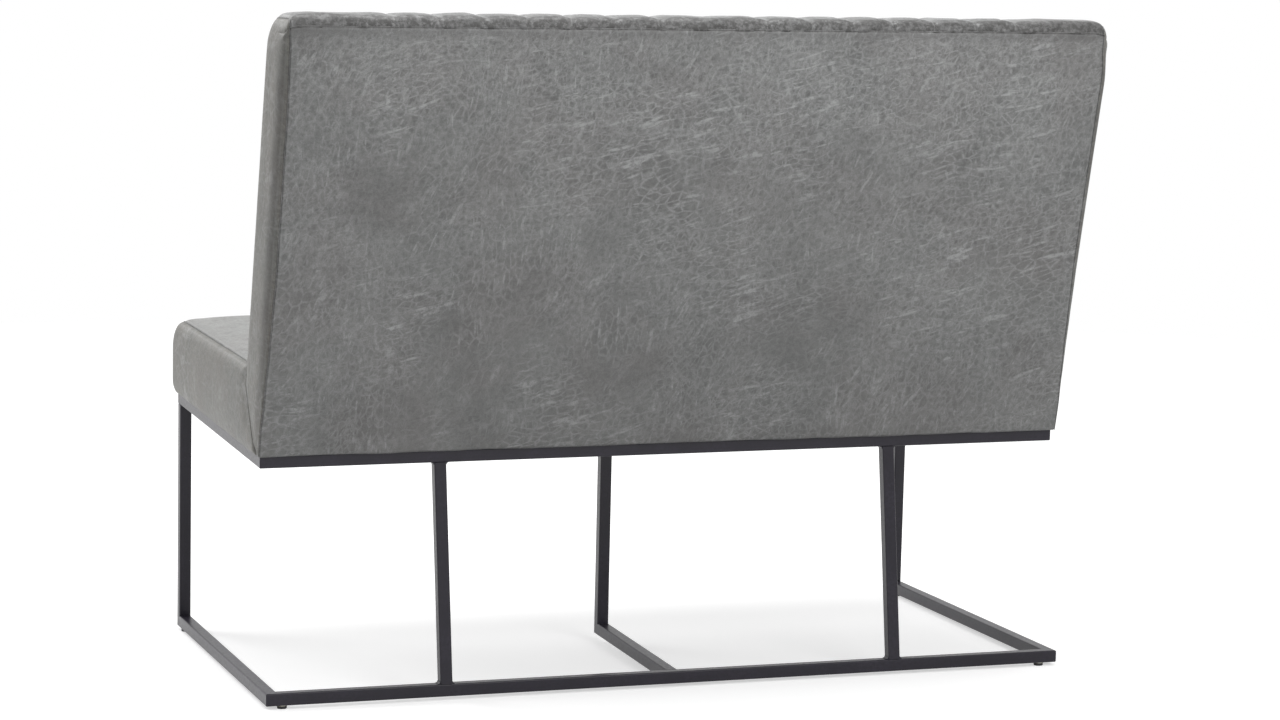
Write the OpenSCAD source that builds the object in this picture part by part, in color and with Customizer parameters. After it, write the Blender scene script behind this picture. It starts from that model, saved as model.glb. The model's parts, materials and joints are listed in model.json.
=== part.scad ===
// Dining bench with an upholstered seat and a reclined, channel-quilted back on a steel sled frame.
// Millimetres, +Z up, the front edge of the seat towards -Y, origin on the floor under the middle.

/* [Steel frame] */
// Overall width of the steel frame
frame_w = 1220; // [900:5:1600]
// Depth of the seat frame, measured along its slope
frame_d = 576; // [480:2:680]
// Height of the seat frame's underside above the floor, at the back
frame_h = 338; // [280:1:420]
// Rise of the seat frame towards the front, in degrees
seat_tilt = 2; // [0:0.1:4]
// How far the rear floor rail stands behind the seat frame
base_back = 41; // [24:1:80]
// Distance of the middle leg's front face from the back of the seat frame
mid_leg_y = 309; // [200:1:420]
// Rise of the middle floor rail towards its leg
mid_rail_rise = 8; // [0:1:20]
// Distance of each rear post's axis from the side of the frame
post_in = 264; // [120:1:330]
// Length of the steel uprights inside the back
upright_len = 430; // [250:5:500]
// Leg length of the weld fillets
weld_size = 3.5; // [2:0.5:5]

/* [Square tube] */
// Outer width of the square tube
tube = 18; // [15:1:22]
// Wall of the square tube
tube_wall = 1.5; // [1:0.1:2]
// Outer corner radius of the square tube
tube_r = 2; // [0.5:0.1:2.5]

/* [Levelling glides] */
// Distance of a glide's axis from the end of the frame
glide_in = 25; // [22:1:60]
// Diameter of the glide's base
glide_d = 14; // [13:0.5:18]
// Height of the glide's base
glide_h = 4; // [3:0.5:8]
// Diameter of the glide's threaded stud
stud_d = 5.9; // [4:0.1:7]
// Length of the stud above the glide's base
stud_len = 14; // [11:0.5:14]
// Radial clearance of the stud in its insert, and of the insert in its hole
stud_gap = 0.1; // [0.05:0.05:0.2]
// Outer diameter of the threaded insert's body
insert_d = 9; // [8.5:0.1:10]
// Diameter of the insert's flange
insert_flange_d = 13; // [12:0.5:14]
// Thickness of the insert's flange
insert_flange = 1; // [0.5:0.1:2]
// Length of the insert above its flange
insert_len = 12; // [8:0.5:13]

/* [Seat] */
// How far the side seams lie inside the frame's side faces
seam_in = 6; // [3:1:12]
// Overhang of the seat in front of the frame, at the side seams
seat_over = 20; // [4:1:40]
// Height of the seat's side seam above the frame, at the front
seat_front_h = 113; // [90:1:160]
// Height of the seat's side seam above the frame, at the back
seat_back_h = 120; // [90:1:160]
// Crown of the seat above its side seams
seat_crown = 10; // [0:1:25]
// Bulge of the seat's front between the side seams
seat_front_crown = 5; // [0:1:12]
// Radius of the seat's upper front edge
seat_front_r = 40; // [20:1:50]
// Radius of the seat's lower front edge
seat_under_r = 20; // [8:1:30]
// Thickness of the leather and wadding over the seat filling
seat_cover_t = 9; // [6:1:14]

/* [Back] */
// Lean of the back from upright, in degrees
back_lean = 15.5; // [6:0.5:22]
// Thickness of the back at its seams
back_t = 111; // [96:1:140]
// How far the back's foot stands behind the seat frame
back_over = 8; // [0:1:15]
// Height of the back's side seams above its foot
back_h = 618; // [500:1:720]
// Radius of the back's upper front edge
back_front_r = 40; // [20:1:45]
// Radius of the back's upper rear edge
back_rear_r = 12; // [6:1:16]
// Drop of the rear seam below the top of the back
rear_seam_drop = 12; // [12:1:30]
// Crown of the plain rear panel
rear_crown = 4; // [0:0.5:8]
// Thickness of the leather and wadding at the front of the back
front_cover_t = 12; // [8:1:18]
// Thickness of the leather and wadding at the top of the back
top_cover_t = 10; // [6:1:16]
// Thickness of the leather and wadding of the rear panel
rear_cover_t = 4; // [3:0.5:6]

/* [Quilting] */
// Half width of the plain middle panel
middle_panel = 80; // [40:1:160]
// Width of the plain panels at the two ends
end_panel = 146; // [80:1:200]
// Number of channels in each of the two groups
channels = 6; // [1:1:8]
// Height of the channels above their stitching
channel_puff = 9; // [2:0.5:12]
// Share of that height left at the top edge of the back
top_puff = 0.45; // [0.1:0.05:1]

/* [Side panels] */
// Bulge of the side panels beyond the side seams
side_bulge = 13; // [4:1:20]
// How far the back's side panel reaches forward on the frame, at the foot
side_toe = 2; // [1:1:8]

/* [Timber and filling] */
// Width of the seat box's timber rails
box_rail_w = 45; // [36:1:60]
// Height of the seat box's timber rails
box_rail_h = 35; // [25:1:50]
// Gap between the seat box and the back of the seat frame
box_back_gap = 24; // [20:1:34]
// How far the seat box stands inside the front of the seat frame
box_front_gap = 4; // [2:1:8]
// Thickness of the webbing straps
webbing_t = 1.6; // [1:0.1:3]
// Width of the webbing straps
webbing_w = 60; // [40:1:80]
// Number of seat webbing straps
seat_straps = 9; // [4:1:10]
// Number of back webbing straps
back_straps = 5; // [3:1:5]
// Thickness of the dust cover under the seat
dust_t = 0.8; // [0.5:0.1:2]
// Depth of the back's timber stiles
stile_d = 40; // [34:1:44]
// Width of the back's timber stiles and rails
stile_w = 45; // [35:1:50]
// Thickness of the hardboard behind the back's timber
board_t = 3; // [2:0.5:5]
// Side of the timber corner blocks
block_size = 50; // [30:1:70]

/* [Fasteners] */
// Width of the mounting tabs
tab_w = 28; // [20:1:40]
// Reach of the mounting tabs into the frame
tab_len = 30; // [26:1:36]
// Thickness of the mounting tabs
tab_t = 3; // [2:0.5:5]
// Distance of the side tabs from the front and back of the frame
tab_side_in = 138; // [90:1:220]
// Distance of the front and rear tabs from the sides of the frame
tab_long_in = 323; // [200:1:400]
// Diameter of the wood screws
screw_d = 5; // [4:0.5:6]
// Diameter of the wood screws' heads
screw_head_d = 10; // [8:0.5:12]
// Height of the wood screws' heads
screw_head_h = 3; // [2:0.5:4]
// Length of the seat screws in the timber
screw_bite = 22; // [12:1:24]
// Clearance round a screw in a drilled hole
screw_gap = 0.25; // [0.1:0.05:0.5]
// Depth of the counterbores in the back's cross rails
counterbore = 4; // [4:0.5:6]
// Spacing of the staples in the dust cover
staple_pitch = 60; // [30:5:120]
// Clearance of the leather from the steel under it and from the hardboard in it
rest_gap = 0.05; // [0.02:0.01:0.2]

/* [Hidden] */

steel_colour = [0.12, 0.12, 0.13];
zinc_colour = [0.72, 0.72, 0.70];
plastic_colour = [0.06, 0.06, 0.06];
timber_colour = [0.80, 0.64, 0.42];
board_colour = [0.45, 0.33, 0.22];
foam_colour = [0.93, 0.89, 0.70];
webbing_colour = [0.25, 0.22, 0.20];
dust_colour = [0.08, 0.08, 0.08];
leather_colour = [0.47, 0.48, 0.48];

fine = 32;
// Overlap of a cut past the face that it opens
past = 1;
foot_h = glide_h + insert_flange;
half_w = frame_w / 2;
half_tube = tube / 2;
seam_x = half_w - seam_in;
post_x = half_w - post_in;

// A point given in the sloping seat frame, as upright [y, z]; there y runs to the back and z up
function seat_pt(y, z) = [
    y * cos(seat_tilt) + z * sin(seat_tilt),
    frame_h - y * sin(seat_tilt) + z * cos(seat_tilt)];
// Height in the seat frame's own direction of the point at depth y there and at upright height z
function seat_z_at(y, z) = (z - frame_h + y * sin(seat_tilt)) / cos(seat_tilt);

// The back's own directions: v runs forward from its rear face, u up along it
back_foot = seat_pt(back_over, tube + rest_gap);
lean = back_lean - seat_tilt;
function back_pt(v, u) = [
    back_foot[0] + u * sin(back_lean) - v * cos(back_lean),
    back_foot[1] + u * cos(back_lean) + v * sin(back_lean)];
// Height u at depth v of a point that stands h above the seat frame's top plane
function back_u_above(v, h) = (h - v * sin(lean)) / cos(lean);
// Height u at depth v of a point that stands h above the back's foot, upright
function back_u_at(v, h) = (h - v * sin(back_lean)) / cos(back_lean);

function unit(a) = a / norm(a);
function cross2(a, b) = a[0] * b[1] - a[1] * b[0];
function lerp(a, b, s) = a + (b - a) * s;
// Where the line through p along d meets the line through q along e
function meet(p, d, q, e) = p + d * (cross2(q - p, e) / cross2(d, e));
// A crown along s from 0 to 1: nothing at the ends, full between, with shoulders of a given power
function dome(s, power) = sqrt(max(0, 1 - pow(abs(2 * s - 1), power)));
// Each number of a list that starts at 0, on both sides of it
function mirrored(list) = concat([for (i = [len(list) - 1:-1:1]) -list[i]], list);

module placed() {
    translate([0, -middle_y, 0]) children();
}

module in_seat_frame() {
    placed() translate([0, 0, frame_h]) rotate([-seat_tilt, 0, 0]) children();
}

module in_back() {
    placed() translate([0, back_foot[0], back_foot[1]]) rotate([-back_lean, 0, 0]) children();
}

// A prism along X whose outline is a list of [y, z] points
module prism_x(outline, x0, x1) {
    translate([x0, 0, 0]) rotate([90, 0, 90]) linear_extrude(x1 - x0) polygon(outline);
}

module rounded_square(w, r) {
    square([w, w - 2 * r], center = true);
    square([w - 2 * r, w], center = true);
    for (sx = [-1, 1], sy = [-1, 1])
        translate([sx * (w / 2 - r), sy * (w / 2 - r)]) circle(r, $fn = fine);
}

module tube_section() {
    difference() {
        rounded_square(tube, tube_r);
        rounded_square(tube - 2 * tube_wall, max(tube_r - tube_wall, 0.3));
    }
}

// A tube along X, with its section's middle at [y, z]
module tube_x(x0, x1, y, z) {
    translate([x0, y, z]) rotate([90, 0, 90]) linear_extrude(x1 - x0) tube_section();
}

// A tube across X from one [y, z] point to another, and some way past both
module tube_yz(x, p, q, over = 4 * tube) {
    d = q - p;
    translate([x, p[0], p[1]]) rotate([-atan2(d[0], d[1]), 0, 0])
        translate([0, 0, -over]) linear_extrude(norm(d) + 2 * over) tube_section();
}

// The slice of such a tube that lies inside a [y, z] outline
module cut_tube(x, p, q, outline) {
    intersection() {
        tube_yz(x, p, q);
        prism_x(outline, x - tube, x + tube);
    }
}

// Seat frame: four mitred rails and a middle rail, in its own directions with its underside at 0
module mitred_x_rail(y_out, y_in, z) {
    intersection() {
        tube_x(-half_w, half_w, (y_out + y_in) / 2, z + half_tube);
        translate([0, 0, z - tube]) linear_extrude(3 * tube) polygon([
            [-half_w, y_out], [half_w, y_out], [half_w - tube, y_in], [tube - half_w, y_in]]);
    }
}

module seat_frame_rear_rail() {
    color(steel_colour) in_seat_frame() mitred_x_rail(0, -tube, 0);
}

module seat_frame_front_rail() {
    color(steel_colour) in_seat_frame() mitred_x_rail(-frame_d, tube - frame_d, 0);
}

module seat_frame_side_rail(side) {
    color(steel_colour) in_seat_frame() intersection() {
        tube_yz(side * (half_w - half_tube), [-frame_d, half_tube], [0, half_tube], 0);
        translate([0, 0, -tube]) linear_extrude(3 * tube) polygon([
            [side * half_w, 0], [side * (half_w - tube), -tube],
            [side * (half_w - tube), tube - frame_d], [side * half_w, -frame_d]]);
    }
}

module seat_frame_left_rail() {
    seat_frame_side_rail(1);
}

module seat_frame_right_rail() {
    seat_frame_side_rail(-1);
}

module seat_frame_middle_rail() {
    color(steel_colour) in_seat_frame() tube_yz(0, [tube - frame_d, half_tube], [-tube, half_tube], 0);
}

// Feet of the legs and the inner corners of their mitres, as [y, z]
leg_foot = seat_pt(-frame_d, seat_z_at(-frame_d, foot_h));
leg_inner = seat_pt(tube - frame_d, seat_z_at(tube - frame_d, foot_h + tube));
rail_end = [base_back - tube, foot_h];
mid_foot = seat_pt(-mid_leg_y, seat_z_at(-mid_leg_y, foot_h + mid_rail_rise));
mid_dir = unit(rail_end - mid_foot);
mid_up = [-mid_dir[1], mid_dir[0]];
leg_dir = [sin(seat_tilt), cos(seat_tilt)];
mid_inner = meet(seat_pt(tube - mid_leg_y, 0), leg_dir, mid_foot + mid_up * tube, mid_dir);

// Legs stand square to the seat frame, so they lean back a little
module leg(x, front, foot, inner) {
    color(steel_colour) placed() cut_tube(x, seat_pt(half_tube - front, 0), (foot + inner) / 2,
        [seat_pt(-front, 0), seat_pt(tube - front, 0), inner, foot]);
}

module front_leg_left() {
    leg(half_w - half_tube, frame_d, leg_foot, leg_inner);
}

module front_leg_right() {
    leg(half_tube - half_w, frame_d, leg_foot, leg_inner);
}

module middle_leg() {
    leg(0, mid_leg_y, mid_foot, mid_inner);
}

// Rear posts run from the seat frame's rear rail down and back to the rear floor rail
module rear_post(side) {
    color(steel_colour) placed() cut_tube(side * post_x,
        seat_pt(-half_tube, 0), [base_back - half_tube, foot_h + tube],
        [seat_pt(-3 * tube, 0), seat_pt(2 * tube, 0),
            [base_back + 2 * tube, foot_h + tube], [base_back - 3 * tube, foot_h + tube]]);
}

module rear_post_left() {
    rear_post(1);
}

module rear_post_right() {
    rear_post(-1);
}

// Floor rails: two side rails mitred into the rear one, and a middle rail that butts against it
glide_places = [
    [half_w - half_tube, leg_foot[0] + glide_in], [half_tube - half_w, leg_foot[0] + glide_in],
    [half_w - glide_in, base_back - half_tube], [glide_in - half_w, base_back - half_tube]];

module insert_holes() {
    for (p = glide_places)
        translate([p[0], p[1], 0]) cylinder(d = insert_d + 2 * stud_gap, h = foot_h + half_tube, $fn = fine);
}

module floor_rail_side(side) {
    inner = half_w - tube;
    color(steel_colour) placed() difference() {
        intersection() {
            cut_tube(side * (half_w - half_tube), leg_foot + [0, half_tube], [base_back, foot_h + half_tube],
                [leg_foot, leg_inner, [base_back + tube, foot_h + tube], [base_back + tube, foot_h]]);
            translate([0, 0, -tube]) linear_extrude(foot_h + 3 * tube) polygon([
                [side * half_w, base_back], [side * inner, base_back - tube],
                [side * inner, leg_foot[0] - tube], [side * half_w, leg_foot[0] - tube]]);
        }
        insert_holes();
    }
}

module floor_rail_left() {
    floor_rail_side(1);
}

module floor_rail_right() {
    floor_rail_side(-1);
}

module floor_rail_rear() {
    color(steel_colour) placed() difference() {
        mitred_x_rail(base_back, base_back - tube, foot_h);
        insert_holes();
    }
}

module floor_rail_middle() {
    middle_line = mid_up * half_tube;
    color(steel_colour) placed() cut_tube(0, mid_foot + middle_line, rail_end + middle_line,
        [mid_foot, mid_inner, meet(mid_inner, mid_dir, rail_end, [0, 1]), rail_end]);
}

// Steel uprights inside the back, welded on the rear rail and clear of the hardboard behind them
upright_gap = 0.5;
upright_v = rear_cover_t + board_t + upright_gap;
back_screw_hole_d = screw_d + 2 * screw_gap;

module back_upright(side) {
    x = side * post_x;
    v_mid = upright_v + half_tube;
    v_front = upright_v + tube;
    color(steel_colour) difference() {
        placed() cut_tube(x, back_pt(v_mid, 0), back_pt(v_mid, upright_len - tube),
            [back_pt(upright_v - tube, back_u_above(upright_v - tube, -rest_gap)),
                back_pt(v_front + tube, back_u_above(v_front + tube, -rest_gap)),
                back_pt(v_front + tube, upright_len), back_pt(upright_v - tube, upright_len)]);
        back_screw_holes();
    }
}

module back_upright_left() {
    back_upright(1);
}

module back_upright_right() {
    back_upright(-1);
}

// Weld fillet: a concave bead along Y in the corner between two faces, here X = 0 and Z = 0
module weld(place, spin, turn) {
    bead = tube - 2 * tube_r;
    translate(place) rotate(spin) rotate([90, turn, 0]) translate([0, 0, -bead / 2])
        linear_extrude(bead) difference() {
            square(weld_size);
            translate([weld_size, weld_size]) circle(weld_size * 0.82, $fn = fine);
        }
}

// Quarter turns of a bead that lies along Y, and spins that lay it along X or stand it upright
across = [0, 0, 90];
upright_back = [90, 0, 0];
upright_front = [-90, 0, 0];
flat = [0, 0, 0];

module weld_beads() {
    color(steel_colour) {
        in_seat_frame() for (side = [-1, 1]) {
            weld([side * (half_w - tube), half_tube - frame_d, 0], flat, side > 0 ? 180 : 90);
            weld([side * (half_w - half_tube), tube - frame_d, 0], across, 90);
            weld([side * (post_x + half_tube), -half_tube, 0], flat, side > 0 ? 90 : 180);
            weld([side * (post_x - half_tube), -half_tube, 0], flat, side > 0 ? 180 : 90);
            weld([side * half_tube, -tube, half_tube], upright_back, side > 0 ? 0 : 270);
            weld([side * half_tube, tube - frame_d, half_tube], upright_front, side > 0 ? 0 : 270);
        }
        in_seat_frame() weld([0, tube - mid_leg_y, 0], across, 90);
        in_seat_frame() weld([0, -mid_leg_y, 0], across, 180);
        placed() for (side = [-1, 1]) {
            weld([side * (post_x + half_tube), base_back - half_tube, foot_h + tube], flat, side > 0 ? 0 : 270);
            weld([side * (post_x - half_tube), base_back - half_tube, foot_h + tube], flat, side > 0 ? 270 : 0);
            weld([side * half_tube, base_back - tube, foot_h + half_tube], upright_back, side > 0 ? 0 : 270);
        }
    }
}

// Glides screw into threaded inserts under the four corners of the floor frame
glide_edge = 0.6;

module glide_base(i) {
    color(plastic_colour) placed() translate([glide_places[i][0], glide_places[i][1], 0]) {
        cylinder(d1 = glide_d - 2 * glide_edge, d2 = glide_d, h = glide_edge, $fn = 2 * fine);
        translate([0, 0, glide_edge]) cylinder(d = glide_d, h = glide_h - glide_edge, $fn = 2 * fine);
    }
}

module glide_stud(i) {
    color(zinc_colour) placed() translate([glide_places[i][0], glide_places[i][1], glide_h])
        cylinder(d = stud_d, h = stud_len, $fn = fine);
}

module threaded_inserts() {
    color(zinc_colour) placed() for (p = glide_places) translate([p[0], p[1], glide_h]) difference() {
        union() {
            cylinder(d = insert_flange_d, h = insert_flange, $fn = fine);
            cylinder(d = insert_d, h = insert_flange + insert_len, $fn = fine);
        }
        translate([0, 0, -past])
            cylinder(d = stud_d + 2 * stud_gap, h = insert_flange + insert_len + 2 * past, $fn = fine);
    }
}

module glide_base_front_left() {
    glide_base(0);
}

module glide_base_front_right() {
    glide_base(1);
}

module glide_base_rear_left() {
    glide_base(2);
}

module glide_base_rear_right() {
    glide_base(3);
}

module glide_stud_front_left() {
    glide_stud(0);
}

module glide_stud_front_right() {
    glide_stud(1);
}

module glide_stud_rear_left() {
    glide_stud(2);
}

module glide_stud_rear_right() {
    glide_stud(3);
}

// Mounting tabs: [x, y] of each screw in the seat frame, and the tab's turn about it
tab_reach = tube + tab_len / 2;
tab_z = tube - tab_t;
tabs = [for (s = [-1, 1]) each [
    [s * (half_w - tab_reach), -tab_side_in, 0],
    [s * (half_w - tab_reach), tab_side_in - frame_d, 0],
    [s * (half_w - tab_long_in), -tab_reach, 90],
    [s * (half_w - tab_long_in), tab_reach - frame_d, 90]]];

module mounting_tabs() {
    color(steel_colour) in_seat_frame() for (p = tabs)
        translate([p[0], p[1], tab_z]) rotate([0, 0, p[2]]) difference() {
            translate([-tab_len / 2, -tab_w / 2, 0]) cube([tab_len, tab_w, tab_t]);
            translate([0, 0, -past]) cylinder(d = screw_d + 2 * screw_gap, h = tab_t + 2 * past, $fn = fine);
        }
}

// Seat box: flat timber rails on the steel frame, in the seat frame's own directions
box_z = tube + dust_t;
box_top = box_z + box_rail_h;
box_x = seam_x - 6;
box_front = box_front_gap - frame_d;
box_rear = -box_back_gap;
foam_under = box_top + webbing_t;

module seat_screw_holes() {
    for (p = tabs) translate([p[0], p[1], tab_z - past])
        cylinder(d = screw_d + 2 * screw_gap, h = past + tab_t + dust_t + screw_bite + past, $fn = fine);
}

module box_block(x0, x1, y0, y1) {
    color(timber_colour) in_seat_frame() difference() {
        translate([x0, y0, box_z]) cube([x1 - x0, y1 - y0, box_rail_h]);
        seat_screw_holes();
    }
}

module seat_box_front_rail() {
    box_block(-box_x, box_x, box_front, box_front + box_rail_w);
}

module seat_box_rear_rail() {
    box_block(-box_x, box_x, box_rear - box_rail_w, box_rear);
}

module seat_box_left_rail() {
    box_block(box_x - box_rail_w, box_x, box_front + box_rail_w, box_rear - box_rail_w);
}

module seat_box_right_rail() {
    box_block(-box_x, box_rail_w - box_x, box_front + box_rail_w, box_rear - box_rail_w);
}

module seat_box_middle_rail() {
    box_block(-box_rail_w / 2, box_rail_w / 2, box_front + box_rail_w, box_rear - box_rail_w);
}

module corner_blocks() {
    x = box_x - box_rail_w;
    for (sx = [-1, 1], end = [[box_front + box_rail_w, 1], [box_rear - box_rail_w, -1]])
        color(timber_colour) in_seat_frame() translate([0, 0, box_z]) linear_extrude(box_rail_h) polygon([
            [sx * x, end[0]], [sx * (x - block_size), end[0]], [sx * x, end[0] + end[1] * block_size]]);
}

strap_end = 5;
module seat_webbing() {
    span = box_x - box_rail_w - webbing_w / 2;
    color(webbing_colour) in_seat_frame() for (i = [0:seat_straps - 1])
        translate([lerp(-span, span, i / (seat_straps - 1)) - webbing_w / 2, box_front + strap_end, box_top])
            cube([webbing_w, box_rear - box_front - 2 * strap_end, webbing_t]);
}

module seat_screws() {
    color(zinc_colour) in_seat_frame() for (p = tabs) translate([p[0], p[1], tab_z]) {
        translate([0, 0, -screw_head_h]) cylinder(d = screw_head_d, h = screw_head_h, $fn = fine);
        cylinder(d = screw_d, h = tab_t + dust_t + screw_bite, $fn = fine);
    }
}

module dust_cover() {
    color(dust_colour) in_seat_frame() difference() {
        translate([-box_x, box_front, tube]) cube([2 * box_x, box_rear - box_front, dust_t]);
        seat_screw_holes();
    }
}

// Staples along the dust cover's edge, inside the steel frame
staple_w = 10;
staple_wire = 0.7;
staple_in = 8;
function clear_of_tabs(p) =
    abs(p[0]) > tube && min([for (q = tabs) norm([q[0] - p[0], q[1] - p[1]])]) > tab_w;

module staple(x, y, turn) {
    if (clear_of_tabs([x, y])) translate([x, y, tube - staple_wire]) rotate([0, 0, turn])
        translate([-staple_w / 2, -staple_wire / 2, 0]) cube([staple_w, staple_wire, staple_wire]);
}

module dust_cover_staples() {
    x = half_w - tube - staple_in;
    y0 = tube - frame_d + staple_in;
    y1 = -(box_back_gap + staple_in);
    nx = floor(2 * x / staple_pitch);
    ny = floor((y1 - y0) / staple_pitch);
    color(zinc_colour) in_seat_frame() {
        for (i = [1:nx - 1], y = [y0, y1]) staple(lerp(-x, x, i / nx), y, 0);
        for (i = [1:ny - 1], s = [-1, 1]) staple(s * x, lerp(y0, y1, i / ny), 90);
    }
}

// Rounded corner at b between a and c, as entries [y, z, outward y, outward z, share of the crown]
function corner(a, b, c, r, n) = let(
    d1 = unit(a - b),
    d2 = unit(c - b),
    half = acos(d1 * d2) / 2,
    mid = b + unit(d1 + d2) * (r / sin(half)),
    from = b + d1 * (r / tan(half)) - mid,
    to = b + d2 * (r / tan(half)) - mid,
    a0 = atan2(from[1], from[0]),
    d = atan2(to[1], to[0]) - a0,
    turn = d > 180 ? d - 360 : d < -180 ? d + 360 : d)
    [for (i = [0:n]) let(q = a0 + turn * i / n)
        [mid[0] + r * cos(q), mid[1] + r * sin(q), cos(q), sin(q), 1]];
function weighted(e, w) = [e[0], e[1], e[2], e[3], w];
function swollen(e, lift) = [e[0] + e[2] * e[4] * lift, e[1] + e[3] * e[4] * lift];

// Seat outline at a side seam: up the plane that it shares with the back, forward, down and under
seat_rear_bottom = back_pt(back_t, back_u_above(back_t, 0));
seat_rear_top = back_pt(back_t, back_u_above(back_t, seat_back_h));
seat_front_top = seat_pt(-(frame_d + seat_over), tube + seat_front_h);
seat_front_bottom = seat_pt(-(frame_d + seat_over), tube + rest_gap);
seat_up = [sin(seat_tilt), cos(seat_tilt)];
seat_out = [-cos(seat_tilt), sin(seat_tilt)];
seat_top_steps = [0.1, 0.25, 0.45, 0.65, 0.82];
seat_front_line = concat(
    [for (s = seat_top_steps) let(p = lerp(seat_rear_top, seat_front_top, s))
        [p[0], p[1], seat_up[0], seat_up[1], sin(180 * min(s, 0.5))]],
    [for (e = corner(seat_rear_top, seat_front_top, seat_front_bottom, seat_front_r, 6)) weighted(e, 0.8)],
    [let(p = lerp(seat_front_top, seat_front_bottom, 0.6)) [p[0], p[1], seat_out[0], seat_out[1], 0.8]],
    [for (e = corner(seat_front_top, seat_front_bottom, seat_rear_bottom, seat_under_r, 4))
        weighted(e, 0.5 * max(0, -e[2]))]);
seat_outline = concat(
    [[seat_rear_bottom[0], seat_rear_bottom[1], 0, 0, 0], [seat_rear_top[0], seat_rear_top[1], 0, 0, 0]],
    seat_front_line);
function seat_lift(e) = lerp(seat_crown, seat_front_crown, abs(e[2]));

// A closed solid through rings of points, each ring with the same count, with flat ends
module loft(rings) {
    n = len(rings[0]);
    m = len(rings);
    polyhedron(
        points = [for (ring = rings, p = ring) p],
        faces = concat(
            [for (j = [0:m - 2], i = [0:n - 1]) [j * n + i, (j + 1) * n + (i + 1) % n, j * n + (i + 1) % n]],
            [for (j = [0:m - 2], i = [0:n - 1]) [j * n + i, (j + 1) * n + i, (j + 1) * n + (i + 1) % n]],
            [[for (i = [0:n - 1]) i]],
            [[for (i = [n - 1:-1:0]) (m - 1) * n + i]]),
        convexity = 6);
}

// Crown across the width, from side seam to side seam
crown_x = [for (s = mirrored([0, 0.3, 0.55, 0.75, 0.88, 0.95, 0.985, 1])) s * seam_x];
function crown_at(x) = dome((x / seam_x + 1) / 2, 6);

module seat_form() {
    loft([for (x = crown_x) [for (e = seat_outline)
        let(p = swollen(e, crown_at(x) * seat_lift(e))) [x, p[0], p[1]]]]);
}

// Room inside the covers, as [y, z] outlines
skin_t = 2;
seat_core = let(
    rear = back_t + skin_t,
    top_rear = back_pt(rear, back_u_above(rear, seat_back_h - seat_cover_t)),
    y_front = -(frame_d + seat_over - seat_cover_t),
    front_top = seat_pt(y_front, tube + seat_front_h - seat_cover_t),
    front_low = seat_pt(y_front, tube + seat_under_r),
    front_in = past - frame_d)
    concat(
        [back_pt(rear, back_u_above(rear, -past)), top_rear],
        [for (e = corner(top_rear, front_top, front_low, seat_front_r - seat_cover_t, 4)) [e[0], e[1]]],
        [front_low, seat_pt(front_in, tube), seat_pt(front_in, tube - past)]);

module box_room() {
    placed() prism_x([
        seat_pt(past - frame_d, tube - past), seat_pt(box_rear, tube - past),
        seat_pt(box_rear, foam_under), seat_pt(past - frame_d, foam_under)], -box_x, box_x);
}

module seat_cover() {
    color(leather_colour) difference() {
        placed() seat_form();
        placed() prism_x(seat_core, -box_x, box_x);
        box_room();
    }
}

module seat_foam() {
    color(foam_colour) intersection() {
        placed() prism_x(seat_core, -box_x, box_x);
        in_seat_frame() translate([-half_w, -2 * frame_d, foam_under])
            cube([2 * half_w, 2 * frame_d, seat_front_h + seat_back_h]);
    }
}

// Side panels swell out of the seam's outline: [share of the bulge, share of the way to the panel's spine]
side_steps = [[0, 0], [0.3, 0.015], [0.55, 0.06], [0.78, 0.16], [0.93, 0.32], [1, 0.55]];
function nearest(p, a, b) = a + (b - a) * max(0, min(1, (p - a) * (b - a) / ((b - a) * (b - a))));

module side_panel(outline, spine, side) {
    rings = [for (s = side_steps) [for (p = outline) let(q = lerp(p, nearest(p, spine[0], spine[1]), s[1]))
        [side * (seam_x + s[0] * side_bulge), q[0], q[1]]]];
    color(leather_colour) placed() loft(side > 0 ? rings : [for (i = [len(rings) - 1:-1:0]) rings[i]]);
}

side_foot = seat_pt(-side_toe, tube + rest_gap);
seat_side_outline = concat([side_foot, seat_rear_top], [for (e = seat_front_line) [e[0], e[1]]]);
seat_spine = [
    seat_pt(-(frame_d + seat_over - seat_front_h / 2), tube + seat_front_h / 2),
    (seat_rear_top + side_foot) / 2 - [seat_back_h / 2, 0]];

module seat_side_panel_left() {
    side_panel(seat_side_outline, seat_spine, 1);
}

module seat_side_panel_right() {
    side_panel(seat_side_outline, seat_spine, -1);
}

// Back outline at a side seam: up the rear face, over the top, down the front and along the foot
rear_n = [cos(back_lean), -sin(back_lean)];
back_rear_top = back_pt(0, back_u_at(0, back_h));
back_front_top = back_pt(back_t, back_u_at(back_t, back_h));
seat_u = back_u_above(back_t, seat_back_h);
front_u = back_u_at(back_t, back_h - back_front_r);
front_steps = [[0.75, 1], [0.4, 1], [0.12, 1], [0.04, 0.7]];
back_upper_line = concat(
    [for (e = corner(back_foot, back_rear_top, back_front_top, back_rear_r, 2))
        weighted(e, top_puff * max(0, e[3]))],
    [let(p = lerp(back_rear_top, back_front_top, 0.42)) [p[0], p[1], 0, 1, top_puff]],
    [for (e = corner(back_rear_top, back_front_top, seat_rear_top, back_front_r, 4))
        weighted(e, lerp(top_puff, 1, max(0, -e[2])))],
    [for (s = front_steps) let(q = back_pt(back_t, lerp(seat_u, front_u, s[0])))
        [q[0], q[1], -rear_n[0], -rear_n[1], s[1]]],
    [[seat_rear_top[0], seat_rear_top[1], 0, 0, 0]]);
back_outline = concat(
    [[back_foot[0], back_foot[1], 0, 0, 0]], back_upper_line,
    [[seat_rear_bottom[0], seat_rear_bottom[1], 0, 0, 0]]);

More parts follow.
